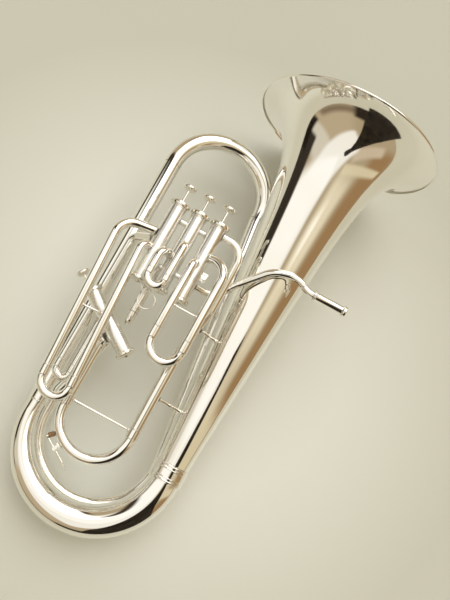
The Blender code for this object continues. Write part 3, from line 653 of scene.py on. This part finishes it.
def make_valve(number, bottom, direction, length):
    """Casing with its bands, knurled caps, spring, piston and mushroom button."""
    up = Vector(direction).normalized()
    tag = "_%d" % number
    body = "valve" + tag
    top = bottom + up * length
    floor = CAP_HEIGHT * 0.4

    # the side casing is drawn thinner, so the pulled loop slide clears it
    skin, band = (SIDE_CASING_RADIUS, 0.0002) if number == 4 else (CASING_RADIUS, 0.0008)
    wall = [(0.0106, floor), (skin, floor)]
    wall += bead(skin, CAP_HEIGHT + 0.0022, band)
    wall += bead(skin, length - CAP_HEIGHT - 0.0022, band)
    wall += [(skin, length - floor), (0.0106, length - floor)]
    casing = turn(wall, bottom, up, ROUND)
    if number == 2:
        casing = join(casing, *valve_links())
    piece("satin_casing" + tag, casing, "horn", SATIN, "valve_casing" + tag)

    bore = CASING_RADIUS + 0.0002
    rim = CAP_RADIUS
    foot = [(0.0, -0.0030), (0.0030, -0.0030), (0.0034, -0.0026), (0.0042, -0.0004), (0.0050, 0.0),
            (rim - 0.0018, 0.0), (rim - 0.0006, 0.0005), (rim, 0.0014), (rim, CAP_HEIGHT - 0.0010),
            (rim - 0.0006, CAP_HEIGHT - 0.0002), (rim - 0.0012, CAP_HEIGHT), (bore, CAP_HEIGHT),
            (bore, floor), (0.0, floor)]
    piece("turned_bottom_cap" + tag, turn(foot, bottom, up, ROUND), "horn", CREAM, "bottom_cap" + tag)

    lid = [(0.0027, 0.0006), (0.0034, 0.0), (rim - 0.0034, 0.0), (rim - 0.0030, 0.0004),
           (rim - 0.0022, 0.0004), (rim - 0.0016, 0.0), (rim - 0.0006, 0.0004), (rim, 0.0013),
           (rim, CAP_HEIGHT - 0.0010), (rim - 0.0007, CAP_HEIGHT), (bore, CAP_HEIGHT), (bore, floor),
           (0.0027, floor)]
    cap = knurled(lid, top, -up, 40, 0.0004, 0.0012, CAP_HEIGHT - 0.0008)
    piece("knurled_top_cap" + tag, cap, "horn", CREAM, "top_cap" + tag, sharp=30)

    piston_top = length - floor - 0.0190
    piston_foot = piston_top - PISTON_LENGTH
    skirt_top = piston_foot + 0.034
    shell = [(0.0, skirt_top), (0.0088, skirt_top), (0.0088, piston_foot), (PISTON_RADIUS, piston_foot),
             (PISTON_RADIUS, piston_top), (0.0, piston_top)]
    piece("lapped_piston" + tag, turn(shell, bottom, up), body, NICKEL, "piston" + tag)

    head = length + BUTTON_RISE
    stem = [(0.0, piston_top - 0.003), (STEM_RADIUS, piston_top - 0.003), (STEM_RADIUS, head - 0.0064),
            (0.0023, head - 0.0064), (0.0042, head - 0.0061), (BUTTON_RADIUS - 0.0016, head - 0.0053),
            (BUTTON_RADIUS - 0.0005, head - 0.0046), (BUTTON_RADIUS, head - 0.0036),
            (BUTTON_RADIUS, head - 0.0012), (BUTTON_RADIUS - 0.0004, head - 0.0005),
            (BUTTON_RADIUS - 0.0012, head), (BUTTON_RADIUS - 0.0020, head - 0.0002),
            (BUTTON_RADIUS - 0.0030, head - 0.0008), (0.0030, head - 0.0010), (0.0, head - 0.0010)]
    piece("mushroom_button" + tag, turn(stem, bottom, up), body, CREAM, "finger_button" + tag)
    washer = [(STEM_RADIUS + 0.0001, 0.0002), (0.0050, 0.0002), (0.0053, 0.0008), (0.0050, 0.0016),
              (STEM_RADIUS + 0.0001, 0.0016)]
    piece("felt_washer" + tag, turn(washer, top, up), "horn", FELT)
    make_spring(tag, bottom, up, floor + 0.0009, skirt_top - 0.0009)


def make_spring(tag, bottom, up, low, high):
    """A coil wound along the valve between two heights, on a mesh of its own."""
    placement = axis_frame(bottom, up)
    turns = 7
    per_turn = 28
    count = turns * per_turn
    route = []
    for i in range(count + 1):
        angle = 2 * math.pi * i / per_turn
        height = low + (high - low) * i / count
        route.append(placement @ Vector((0.0074 * math.cos(angle), 0.0074 * math.sin(angle), height)))
    bm = sweep(route, 0.0006, sides=8, up=up)
    spring = piece("wound_spring" + tag, bm, "horn", STEEL, "valve_spring" + tag)
    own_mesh(spring)


def valve_links():
    """Short tubes, each with a soldered collar, between the front casings."""
    links = []
    for y in (0.2465, 0.3185):
        for hand in (-1, 1):
            start = Vector((VALVE_X[1] + hand * (CASING_RADIUS - 0.0010), y, VALVE_Z))
            reach = abs(VALVE_X[1] - VALVE_X[0]) - CASING_RADIUS - GAP
            stop = Vector((VALVE_X[1] + hand * reach, y, VALVE_Z))
            way = Vector((hand, 0, 0))
            links.append(rod(start, stop, 0.0042, 28))
            links.append(ring_band(0.0040, 0.0046, 0.0022, [(0.0, 0.0005)], stop - way * 0.0016, way, 32))
    return links


def make_valves():
    for number, x in enumerate(VALVE_X, start=1):
        make_valve(number, Vector((x, VALVE_BOTTOM_Y, VALVE_Z)), (0, 1, 0), VALVE_LENGTH)
    side_up = (math.cos(SIDE_VALVE_ANGLE), math.sin(SIDE_VALVE_ANGLE), 0.0)
    make_valve(4, SIDE_VALVE_BOTTOM, side_up, SIDE_VALVE_LENGTH)


# ================================================================ slides
class SlideFrame:
    """Where a U-shaped slide lies: crook centre, pulling direction and leg spacing."""

    def __init__(self, centre, lean, spacing, out=(0, 0, 1)):
        self.centre = Vector(centre)
        self.pull = Vector((math.sin(lean), -math.cos(lean), 0.0))
        self.out = Vector(out)
        self.side = self.out.cross(self.pull).normalized()
        self.half = spacing / 2

    def point(self, hand, along):
        return self.centre + self.side * (self.half * hand) - self.pull * along


FIRST = SlideFrame((-0.0875, 0.151, FRONT_SLIDE_Z), 0.0, 0.046)
SECOND = SlideFrame((-0.1452, 0.2268, FRONT_SLIDE_Z), 0.0, 0.0245)
THIRD = SlideFrame((-0.1920, 0.040, THIRD_SLIDE_Z), THIRD_SLIDE_LEAN, 0.0404)
MAIN = SlideFrame((-0.1205, 0.0186, MAIN_SLIDE_Z), 0.0, 0.1026)
REAR = SlideFrame((-0.199, 0.058, REAR_SLIDE_Z), 0.0, 0.0200)
LOOP = SlideFrame((-0.1534, 0.167, 0.0290), 0.0, 0.0165, out=(1, 0, 0))


def make_crook(name, body, slide, joint, leg_length, main=False, extra=()):
    """Two inner legs, ferrules with rolled ends and the half-round crook."""
    leg = MAIN_LEG_OUTER if main else LEG_OUTER
    ferrule = MAIN_FERRULE_OUTER if main else FERRULE_OUTER
    tube = MAIN_CROOK_OUTER if main else CROOK_OUTER
    if slide is LOOP:
        leg, ferrule, tube = LOOP_OUTERS
    inner = leg - 0.0008
    edge = 0.0003
    heights = [joint + leg_length, joint + 0.0002, joint, joint - edge, edge * 3, edge * 2, 0.0]
    radii = [leg, leg, ferrule - edge, ferrule, ferrule, ferrule - edge, tube]
    route = [slide.point(-1, height) for height in heights]
    outer = list(radii)
    steps = 36
    for i in range(1, steps):
        angle = math.pi * i / steps
        spoke = slide.side * (-math.cos(angle)) + slide.pull * math.sin(angle)
        route.append(slide.centre + spoke * slide.half)
        outer.append(tube)
    route += [slide.point(1, height) for height in reversed(heights)]
    outer += radii[::-1]
    bm = join(sweep(route, outer, inner, TUBE_SIDES, up=slide.out), *extra)
    piece("polished_" + name, bm, body, SILVER, name)


def sleeve(slide, hand, joint, corners, main=False, bend=0.0125):
    """A fixed outer tube: straight over the inner leg, then bent to its valve."""
    route = rounded_route([slide.point(hand, joint + GAP)] + corners, bend)
    outer = MAIN_SLEEVE_OUTER if main else SLEEVE_OUTER
    tube = sweep(route, outer, outer - 0.0006, TUBE_SIDES, up=slide.out)
    start = slide.point(hand, joint + 0.0012)
    lip = ring_band(outer - 0.0004, outer, 0.0018, [(0.0, 0.0004)], start, slide.pull, 36)
    return join(tube, lip)


def casing_port(number, towards, y, gap=GAP):
    axis_point = Vector((VALVE_X[number - 1], 0.0, VALVE_Z))
    flat = Vector((towards.x - axis_point.x, 0.0, towards.z - axis_point.z)).normalized()
    return Vector((axis_point.x, y, axis_point.z)) + flat * (CASING_RADIUS + gap)


def collar(port, corner, outer):
    """The soldered ring where a tube meets its casing."""
    way = (corner - port).normalized()
    return ring_band(outer - 0.0004, outer + 0.0002, 0.0024, [(0.0, 0.0005)], port + way * 0.0016, way, 36)


def stay(slide, along, tube_outer, radius=BRACE_RADIUS):
    """A cross brace with a small flange at each tube."""
    start = slide.point(-1, along) + slide.side * (tube_outer - 0.0006)
    stop = slide.point(1, along) - slide.side * (tube_outer - 0.0006)
    way = (stop - start).normalized()
    length = (stop - start).length
    flange = radius * 1.7
    profile = [(0.0, 0.0), (flange, 0.0), (flange, 0.0010), (radius * 1.2, 0.0017), (radius, 0.0030),
               (radius, length - 0.0030), (radius * 1.2, length - 0.0017), (flange, length - 0.0010),
               (flange, length), (0.0, length)]
    return turn(profile, start, way, 24)


def make_first_slide():
    joint = 0.017
    left_top = Vector((FIRST.point(-1, 0).x, 0.272, FRONT_SLIDE_Z))
    left_port = casing_port(1, left_top, 0.272)
    right_top = Vector((FIRST.point(1, 0).x, 0.289, FRONT_SLIDE_Z))
    right_port = casing_port(1, right_top, 0.290)
    bm = join(sleeve(FIRST, -1, joint, [left_top, left_port]),
              sleeve(FIRST, 1, joint, [right_top, right_port], bend=0.026),
              collar(left_port, left_top, SLEEVE_OUTER), collar(right_port, right_top, SLEEVE_OUTER),
              stay(FIRST, 0.0535, SLEEVE_OUTER))
    piece("polished_first_slide_tubes", bm, "horn", SILVER, "first_slide_tubes")
    make_crook("first_slide_crook", "first_slide", FIRST, joint, 0.055)


def make_second_slide():
    joint = 0.0082
    for hand, side, y in ((-1, "left", 0.267), (1, "right", 0.287)):
        top = Vector((SECOND.point(hand, 0).x, y, FRONT_SLIDE_Z))
        port = casing_port(2, top, y)
        name = "second_slide_%s_tube" % side
        bm = join(sleeve(SECOND, hand, joint, [top, port]), collar(port, top, SLEEVE_OUTER))
        piece("polished_" + name, bm, "horn", SILVER, name)
    make_crook("second_slide_crook", "second_slide", SECOND, joint, 0.022)


def make_third_slide():
    joint = 0.014
    right_top = THIRD.point(1, 0.2225)
    right_port = casing_port(3, right_top, right_top.y)
    left_top = THIRD.point(-1, 0.240)
    left_port = casing_port(3, left_top, 0.288, 0.0018)
    bm = join(sleeve(THIRD, 1, joint, [right_top, right_port]),
              sleeve(THIRD, -1, joint, [left_top, left_port], bend=0.026),
              collar(right_port, right_top, SLEEVE_OUTER), collar(left_port, left_top, SLEEVE_OUTER),
              stay(THIRD, 0.107, SLEEVE_OUTER))
    piece("polished_third_slide_tubes", bm, "horn", SILVER, "third_slide_tubes")
    make_crook("third_slide_crook", "third_slide", THIRD, joint, 0.075)


def tube_end(port, corner, outer):
    """The casing wall that closes a tube's mouth, with its soldered ring."""
    way = (corner - port).normalized()
    wall = rod(port + way * 0.0004, port + way * 0.0012, outer - 0.0004, 28)
    return join(collar(port, corner, outer), wall)


def make_main_slide():
    joint = 0.0134
    left_corner = Vector((MAIN.point(-1, 0).x, 0.117, MAIN_SLIDE_Z))
    left_port = Vector((-0.1671, 0.1242, 0.045))
    bm = join(sleeve(MAIN, -1, joint, [left_corner, left_port], True),
              tube_end(left_port, left_corner, MAIN_SLEEVE_OUTER))
    piece("polished_main_slide_left_tube", bm, "horn", SILVER, "main_slide_left_tube")
    right_top = MAIN.point(1, 0.130)
    tube = sweep([MAIN.point(1, joint + GAP), right_top], MAIN_SLEEVE_OUTER, MAIN_SLEEVE_OUTER - 0.0007)
    ends = [ring_band(0.0077, 0.0081, 0.0018, [(0.0, 0.0004)], MAIN.point(1, height), MAIN.pull, 36)
            for height in (joint + 0.0012, 0.1288)]
    piece("polished_main_slide_right_tube", join(tube, *ends), "horn", SILVER, "main_slide_right_tube")
    brace = stay(MAIN, joint * 0.75, MAIN_FERRULE_OUTER, MAIN_BRACE_RADIUS)
    make_crook("main_slide_crook", "main_slide", MAIN, joint, 0.060, True, (brace,))
    make_feed_tube(right_top)
    make_water_key()


def make_feed_tube(foot):
    port = casing_port(1, Vector((-0.05, 0.0, 0.060)), 0.328)
    corners = [foot + Vector((0, 2 * GAP, 0)), Vector((-0.069, 0.164, 0.041)), Vector((-0.057, 0.225, 0.052)),
               Vector((-0.0565, 0.327, 0.060)), port]
    bm = join(sweep(rounded_route(corners, 0.026), 0.0060, 0.0052), collar(port, corners[-2], 0.0060))
    piece("polished_valve_feed_tube", bm, "horn", SILVER, "valve_feed_tube")


def make_rear_slide():
    joint = 0.012
    left_top = REAR.point(-1, 0.217)
    left_end = Vector((-0.1795, 0.279, 0.0525))
    right_top = REAR.point(1, 0.0915)
    right_end = right_top + Vector((0, 0, 0.0117))
    for side, hand, top, end in (("left", -1, left_top, left_end), ("right", 1, right_top, right_end)):
        name = "rear_slide_%s_tube" % side
        bm = join(sleeve(REAR, hand, joint, [top, end]), tube_end(end, top, SLEEVE_OUTER))
        piece("polished_" + name, bm, "horn", SILVER, name)
    make_crook("rear_slide_crook", "rear_slide", REAR, joint, 0.045)


def make_loop_slide():
    joint = 0.008
    for hand, side, rise, number in ((1, "back", 0.088, 2), (-1, "front", 0.063, 3)):
        top = LOOP.point(hand, rise)
        port = casing_port(number, top, top.y)
        name = "loop_slide_%s_tube" % side
        piece("polished_" + name, sleeve(LOOP, hand, joint, [top, port]), "horn", SILVER, name)
    make_crook("loop_slide_crook", "loop_slide", LOOP, joint, 0.030)


# ================================================================ leadpipe
def make_leadpipe():
    low_corner = Vector((-0.068, 0.247, 0.038))
    port = casing_port(1, low_corner, 0.2465)
    corners = [port, low_corner, Vector((-0.040, 0.284, 0.044)), Vector((-0.006, 0.318, LEADPIPE_Z)),
               Vector((0.030, 0.328, LEADPIPE_Z)), Vector((0.050, RECEIVER_Y, LEADPIPE_Z)),
               Vector((RECEIVER_START_X - GAP, RECEIVER_Y, LEADPIPE_Z))]
    bm = join(sweep(rounded_route(corners, 0.035), LEADPIPE_OUTER, LEADPIPE_OUTER - 0.0008),
              collar(port, low_corner, LEADPIPE_OUTER))
    piece("polished_leadpipe", bm, "horn", SILVER, "leadpipe")
    way = corners[2] - corners[1]
    band = ring_band(0.0060, 0.0066, 0.011, [(-0.0040, 0.0006), (0.0040, 0.0006)],
                     corners[1] + way * 0.56, way)
    piece("ringed_leadpipe_ferrule", band, "horn", SILVER, "leadpipe_ferrule")


def make_receiver():
    """Tapered mouthpiece receiver with a collar at each end and a chamfered mouth."""
    length = RECEIVER_END_X - RECEIVER_START_X
    outer = RECEIVER_OUTER
    ring = RECEIVER_RING
    profile = [(0.0044, 0.0), (outer + 0.0008, 0.0)]
    profile += bead(outer + 0.0004, 0.0012, 0.0007) + bead(outer + 0.0004, 0.0036, 0.0007)
    profile += [(outer, 0.005), (outer, length - 0.0062), (outer + 0.0006, length - 0.0056)]
    profile += [(ring - 0.0003, length - 0.0050), (ring, length - 0.0044), (ring, length - 0.0008),
                (ring - 0.0005, length), (RECEIVER_BORE + 0.0004, length), (RECEIVER_BORE, length - 0.0008),
                (RECEIVER_BORE - 0.0004, 0.018), (0.0044, 0.018)]
    start = (RECEIVER_START_X, RECEIVER_Y, LEADPIPE_Z)
    piece("turned_receiver", turn(profile, start, (1, 0, 0), ROUND), "horn", SILVER, "mouthpiece_receiver")


# ================================================================ small fittings
def make_water_key():
    """Saddle with two ears on the main crook; lever, hub, pad and cup rock over it, with a cork stopper."""
    outward = Vector((math.cos(KEY_ANGLE), math.sin(KEY_ANGLE), 0.0))
    along = Vector((-outward.y, outward.x, 0.0))
    side = Vector((0, 0, 1))
    surface = MAIN.centre + outward * (MAIN.half + MAIN_CROOK_OUTER)
    pin = surface + outward * KEY_PIN_RISE
    base = surface + outward * 0.0005
    plate = block(base + outward * 0.0012, along * 0.0045, outward * 0.0012, side * 0.0052)
    ears = []
    for hand in (-1, 1):
        centre = base + side * (0.0044 * hand)
        ears.append(block(centre + outward * 0.0048, along * 0.0026, outward * 0.0042, side * 0.0007))
        ears.append(rod(pin + side * (0.0037 * hand), pin + side * (0.0052 * hand), 0.0026))
    screw = rod(pin - side * 0.0056, pin + side * 0.0056, 0.0010)
    piece("soldered_key_saddle", join(plate, *ears, screw), "main_slide", CREAM, "water_key_saddle")

    arm = rounded_route([pin - along * 0.0215 - outward * 0.0012, pin - along * 0.006, pin + along * 0.006,
                         pin + along * 0.022 + outward * 0.0010,
                         pin + along * 0.030 + outward * 0.0030], 0.01, 6)
    taper = [0.0013 + 0.0005 * math.sin(math.pi * i / (len(arm) - 1)) for i in range(len(arm))]
    bar = sweep(arm, taper, sides=16)
    hub = rod(pin - side * 0.0033, pin + side * 0.0033, 0.0024, 28)
    pad = turn([(0.0, 0.0), (0.0022, 0.0), (0.0034, 0.0006), (0.0034, 0.0010), (0.0, 0.0010)],
               arm[-1] - outward * 0.0004, -outward, 24)
    tip = pin - along * 0.0205
    inward = (MAIN.centre - tip).normalized()
    drop = (tip - MAIN.centre).length - MAIN.half - MAIN_CROOK_OUTER
    cup = turn([(0.0, -0.0004), (0.0030, -0.0004), (0.0038, 0.0004), (0.0038, 0.0030), (0.0, 0.0030)],
               tip, inward, 28)
    piece("hinged_key_lever", join(bar, hub, pad, cup), "water_key", CREAM, "water_key_lever")
    stopper = turn([(0.0, 0.0028), (0.0035, 0.0028), (0.0035, drop - 0.0009), (0.0030, drop - 0.0005),
                    (0.0, drop - 0.0005)], tip, inward, 28)
    piece("cork_stopper", stopper, "water_key", CORK)


def make_finger_ring():
    """A wire loop on a short rod under the third valve."""
    circle = [RING_CENTRE + Vector((math.cos(a), math.sin(a), 0)) * RING_RADIUS
              for a in [2 * math.pi * i / 72 for i in range(73)]]
    loop = sweep(circle, RING_WIRE, sides=16)
    foot = RING_CENTRE + Vector((-0.0100, 0.0070, 0.0))
    head = Vector((VALVE_X[2] + 0.0075, VALVE_BOTTOM_Y - 0.0012, VALVE_Z))
    piece("wire_finger_ring", join(loop, rod(foot, head, 0.0011, 16)), "horn", CREAM, "finger_ring", sharp=60)


def make_lyre_holder():
    """Square lyre socket of four walls, with a knurled thumb screw."""
    centre = Vector((-0.0875, 0.258, 0.0755))
    walls = []
    half_length = Vector((0, 0.0065, 0))
    for hand in (-1, 1):
        beside = centre + Vector((0.0031 * hand, 0, 0))
        walls.append(block(beside, Vector((0.0009, 0, 0)), half_length, Vector((0, 0, 0.0040)), 0.0002))
        above = centre + Vector((0, 0, 0.0031 * hand))
        walls.append(block(above, Vector((0.0023, 0, 0)), half_length, Vector((0, 0, 0.0009)), 0.0001))
    piece("square_lyre_holder", join(*walls), "horn", SILVER, "lyre_holder")
    profile = [(0.0, 0.0), (0.0014, 0.0), (0.0014, 0.0028), (0.0022, 0.0031), (0.0038, 0.0032),
               (0.0044, 0.0038), (0.0044, 0.0060), (0.0040, 0.0066), (0.0020, 0.0065), (0.0, 0.0064)]
    screw = knurled(profile, LYRE_SCREW_FOOT, (0, 0, 1), 18, 0.0004, 0.0036, 0.0061)
    piece("knurled_lyre_screw", screw, "lyre_screw", CREAM, "lyre_screw", sharp=30)


def make_bell_braces():
    """Two turned stays between the bell and the tubes beside it."""
    stays = (("bell_brace_upper", Vector((-0.0618, 0.197, 0.0475)), Vector((0.0, 0.197, 0.0)), 0.0067),
             ("bell_brace_lower", Vector((-0.0692, 0.085, 0.0400)), Vector((0.0, 0.085, 0.0)), 0.0086))
    for name, tube, axis, clearance in stays:
        way = (axis - tube).normalized()
        start = tube + way * (clearance - 0.0004)
        length = (axis - tube).length - clearance - bell_radius(tube.y) + 0.0006
        middle = length / 2
        profile = [(0.0, 0.0), (0.0042, 0.0), (0.0042, 0.0008), (0.0030, 0.0016), (0.0023, 0.0028),
                   (0.0019, middle - 0.0030)]
        profile += [(0.0024, middle - 0.0018), (0.0028, middle), (0.0024, middle + 0.0018)]
        profile += [(0.0019, middle + 0.0030), (0.0023, length - 0.0028), (0.0030, length - 0.0016),
                    (0.0042, length - 0.0008), (0.0042, length), (0.0, length)]
        piece("turned_" + name, turn(profile, start, way, 32), "horn", CREAM, name)


# ================================================================ set and light
def add_floor():
    bm = bmesh.new()
    bmesh.ops.create_grid(bm, x_segments=1, y_segments=1, size=3.0)
    mesh = bpy.data.meshes.new("paper_floor")
    bm.to_mesh(mesh)
    bm.free()
    mesh.materials.append(paper())
    floor = bpy.data.objects.new("paper_floor", mesh)
    floor.location.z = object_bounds()[0][2] - 0.0002
    bpy.context.scene.collection.objects.link(floor)


def sky_axes(azimuth, elevation, tilt):
    """Unit vectors along, across and out of a panel seen at a compass direction from +Y to +X."""
    az, el, turned = (math.radians(angle) for angle in (azimuth, elevation, tilt))
    out = Vector((math.sin(az) * math.cos(el), math.cos(az) * math.cos(el), math.sin(el)))
    level = Vector((math.cos(az), -math.sin(az), 0.0))
    rise = level.cross(out)
    along = level * math.cos(turned) + rise * math.sin(turned)
    across = rise * math.cos(turned) - level * math.sin(turned)
    return along, across, out


def math_node(tree, operation, first, second=None):
    node = tree.nodes.new("ShaderNodeMath")
    node.operation = operation
    tree.links.new(first, node.inputs[0])
    if second is not None:
        tree.links.new(second, node.inputs[1])
    return node.outputs["Value"]


def dot(tree, direction, vector):
    node = tree.nodes.new("ShaderNodeVectorMath")
    node.operation = "DOT_PRODUCT"
    node.inputs[1].default_value = vector
    tree.links.new(direction, node.inputs[0])
    return node.outputs["Value"]


def within(tree, angle, half, soft):
    """1 inside a half width, falling smoothly to 0 over the soft edge; all in degrees."""
    node = tree.nodes.new("ShaderNodeMapRange")
    node.interpolation_type = "SMOOTHSTEP"
    node.inputs["From Min"].default_value = math.radians(half + soft)
    node.inputs["From Max"].default_value = math.radians(max(half - soft, 0.0))
    tree.links.new(math_node(tree, "ABSOLUTE", angle), node.inputs["Value"])
    return node.outputs["Result"]


def add_panel(tree, direction, below, panel):
    """Lay one soft-edged light or dark panel over the room's colour."""
    azimuth, elevation, tilt, half_long, half_wide, soft, colour = panel
    along, across, out = sky_axes(azimuth, elevation, tilt)
    depth = dot(tree, direction, out)
    masks = []
    for axis, half in ((along, half_long), (across, half_wide)):
        angle = math_node(tree, "ARCTAN2", dot(tree, direction, axis), depth)
        masks.append(within(tree, angle, half, soft))
    mix = tree.nodes.new("ShaderNodeMix")
    mix.data_type = "RGBA"
    mix.inputs["B"].default_value = (*colour, 1.0)
    tree.links.new(math_node(tree, "MULTIPLY", masks[0], masks[1]), mix.inputs["Factor"])
    tree.links.new(below, mix.inputs["A"])
    return mix.outputs["Result"]


def add_room():
    """A beige room with a large ceiling softbox, a side strip light and dark cards."""
    world = bpy.data.worlds.new("studio")
    bpy.context.scene.world = world
    world.use_nodes = True
    tree = world.node_tree
    direction = tree.nodes.new("ShaderNodeTexCoord").outputs["Generated"]
    base = tree.nodes.new("ShaderNodeRGB")
    base.outputs["Color"].default_value = (*ROOM_COLOUR, 1.0)
    colour = base.outputs["Color"]
    for panel in ROOM_PANELS.values():
        colour = add_panel(tree, direction, colour, panel)
    tree.links.new(colour, tree.nodes["Background"].inputs["Color"])
    tree.nodes["Background"].inputs["Strength"].default_value = ROOM_STRENGTH


def add_dark_card():
    """The card only shows in reflections, as the dark shape over the bell's flare."""
    across = Vector((0.78, 0.62, 0.0))
    bm = bmesh.new()
    rows = []
    for centre, half in DARK_CARD:
        rows.append([bm.verts.new(Vector(centre) + across * half * hand) for hand in (-1, 1)])
    for low, high in zip(rows, rows[1:]):
        bm.faces.new((low[0], low[1], high[1], high[0]))
    mesh = bpy.data.meshes.new("dark_card")
    bm.to_mesh(mesh)
    bm.free()
    mesh.materials.append(dark_cloth())
    card = bpy.data.objects.new("dark_card", mesh)
    card.visible_camera = False
    card.visible_diffuse = False
    card.visible_shadow = False
    bpy.context.scene.collection.objects.link(card)


def add_camera():
    data = bpy.data.cameras.new("photo_camera")
    data.sensor_fit = "VERTICAL"
    data.sensor_height = SENSOR_HEIGHT
    data.lens = CAMERA_LENS
    data.clip_end = 20.0
    camera = bpy.data.objects.new("photo_camera", data)
    turned = Matrix.Rotation(CAMERA_TILT, 4, "X") @ Matrix.Rotation(CAMERA_ROLL, 4, "Z")
    camera.matrix_world = seat @ Matrix.Translation(CAMERA_PLACE) @ turned
    bpy.context.scene.collection.objects.link(camera)
    bpy.context.scene.camera = camera


# ================================================================ build
bpy.context.scene.view_settings.view_transform = "Standard"
add_camera()
make_bell()
make_bell_ferrule()
make_bottom_bow()
make_branches()
make_top_bow()
make_inner_bow()
make_valves()
make_first_slide()
make_second_slide()
make_third_slide()
make_main_slide()
make_rear_slide()
make_loop_slide()
make_leadpipe()
make_receiver()
make_finger_ring()
make_lyre_holder()
make_bell_braces()
add_floor()
add_room()
add_dark_card()
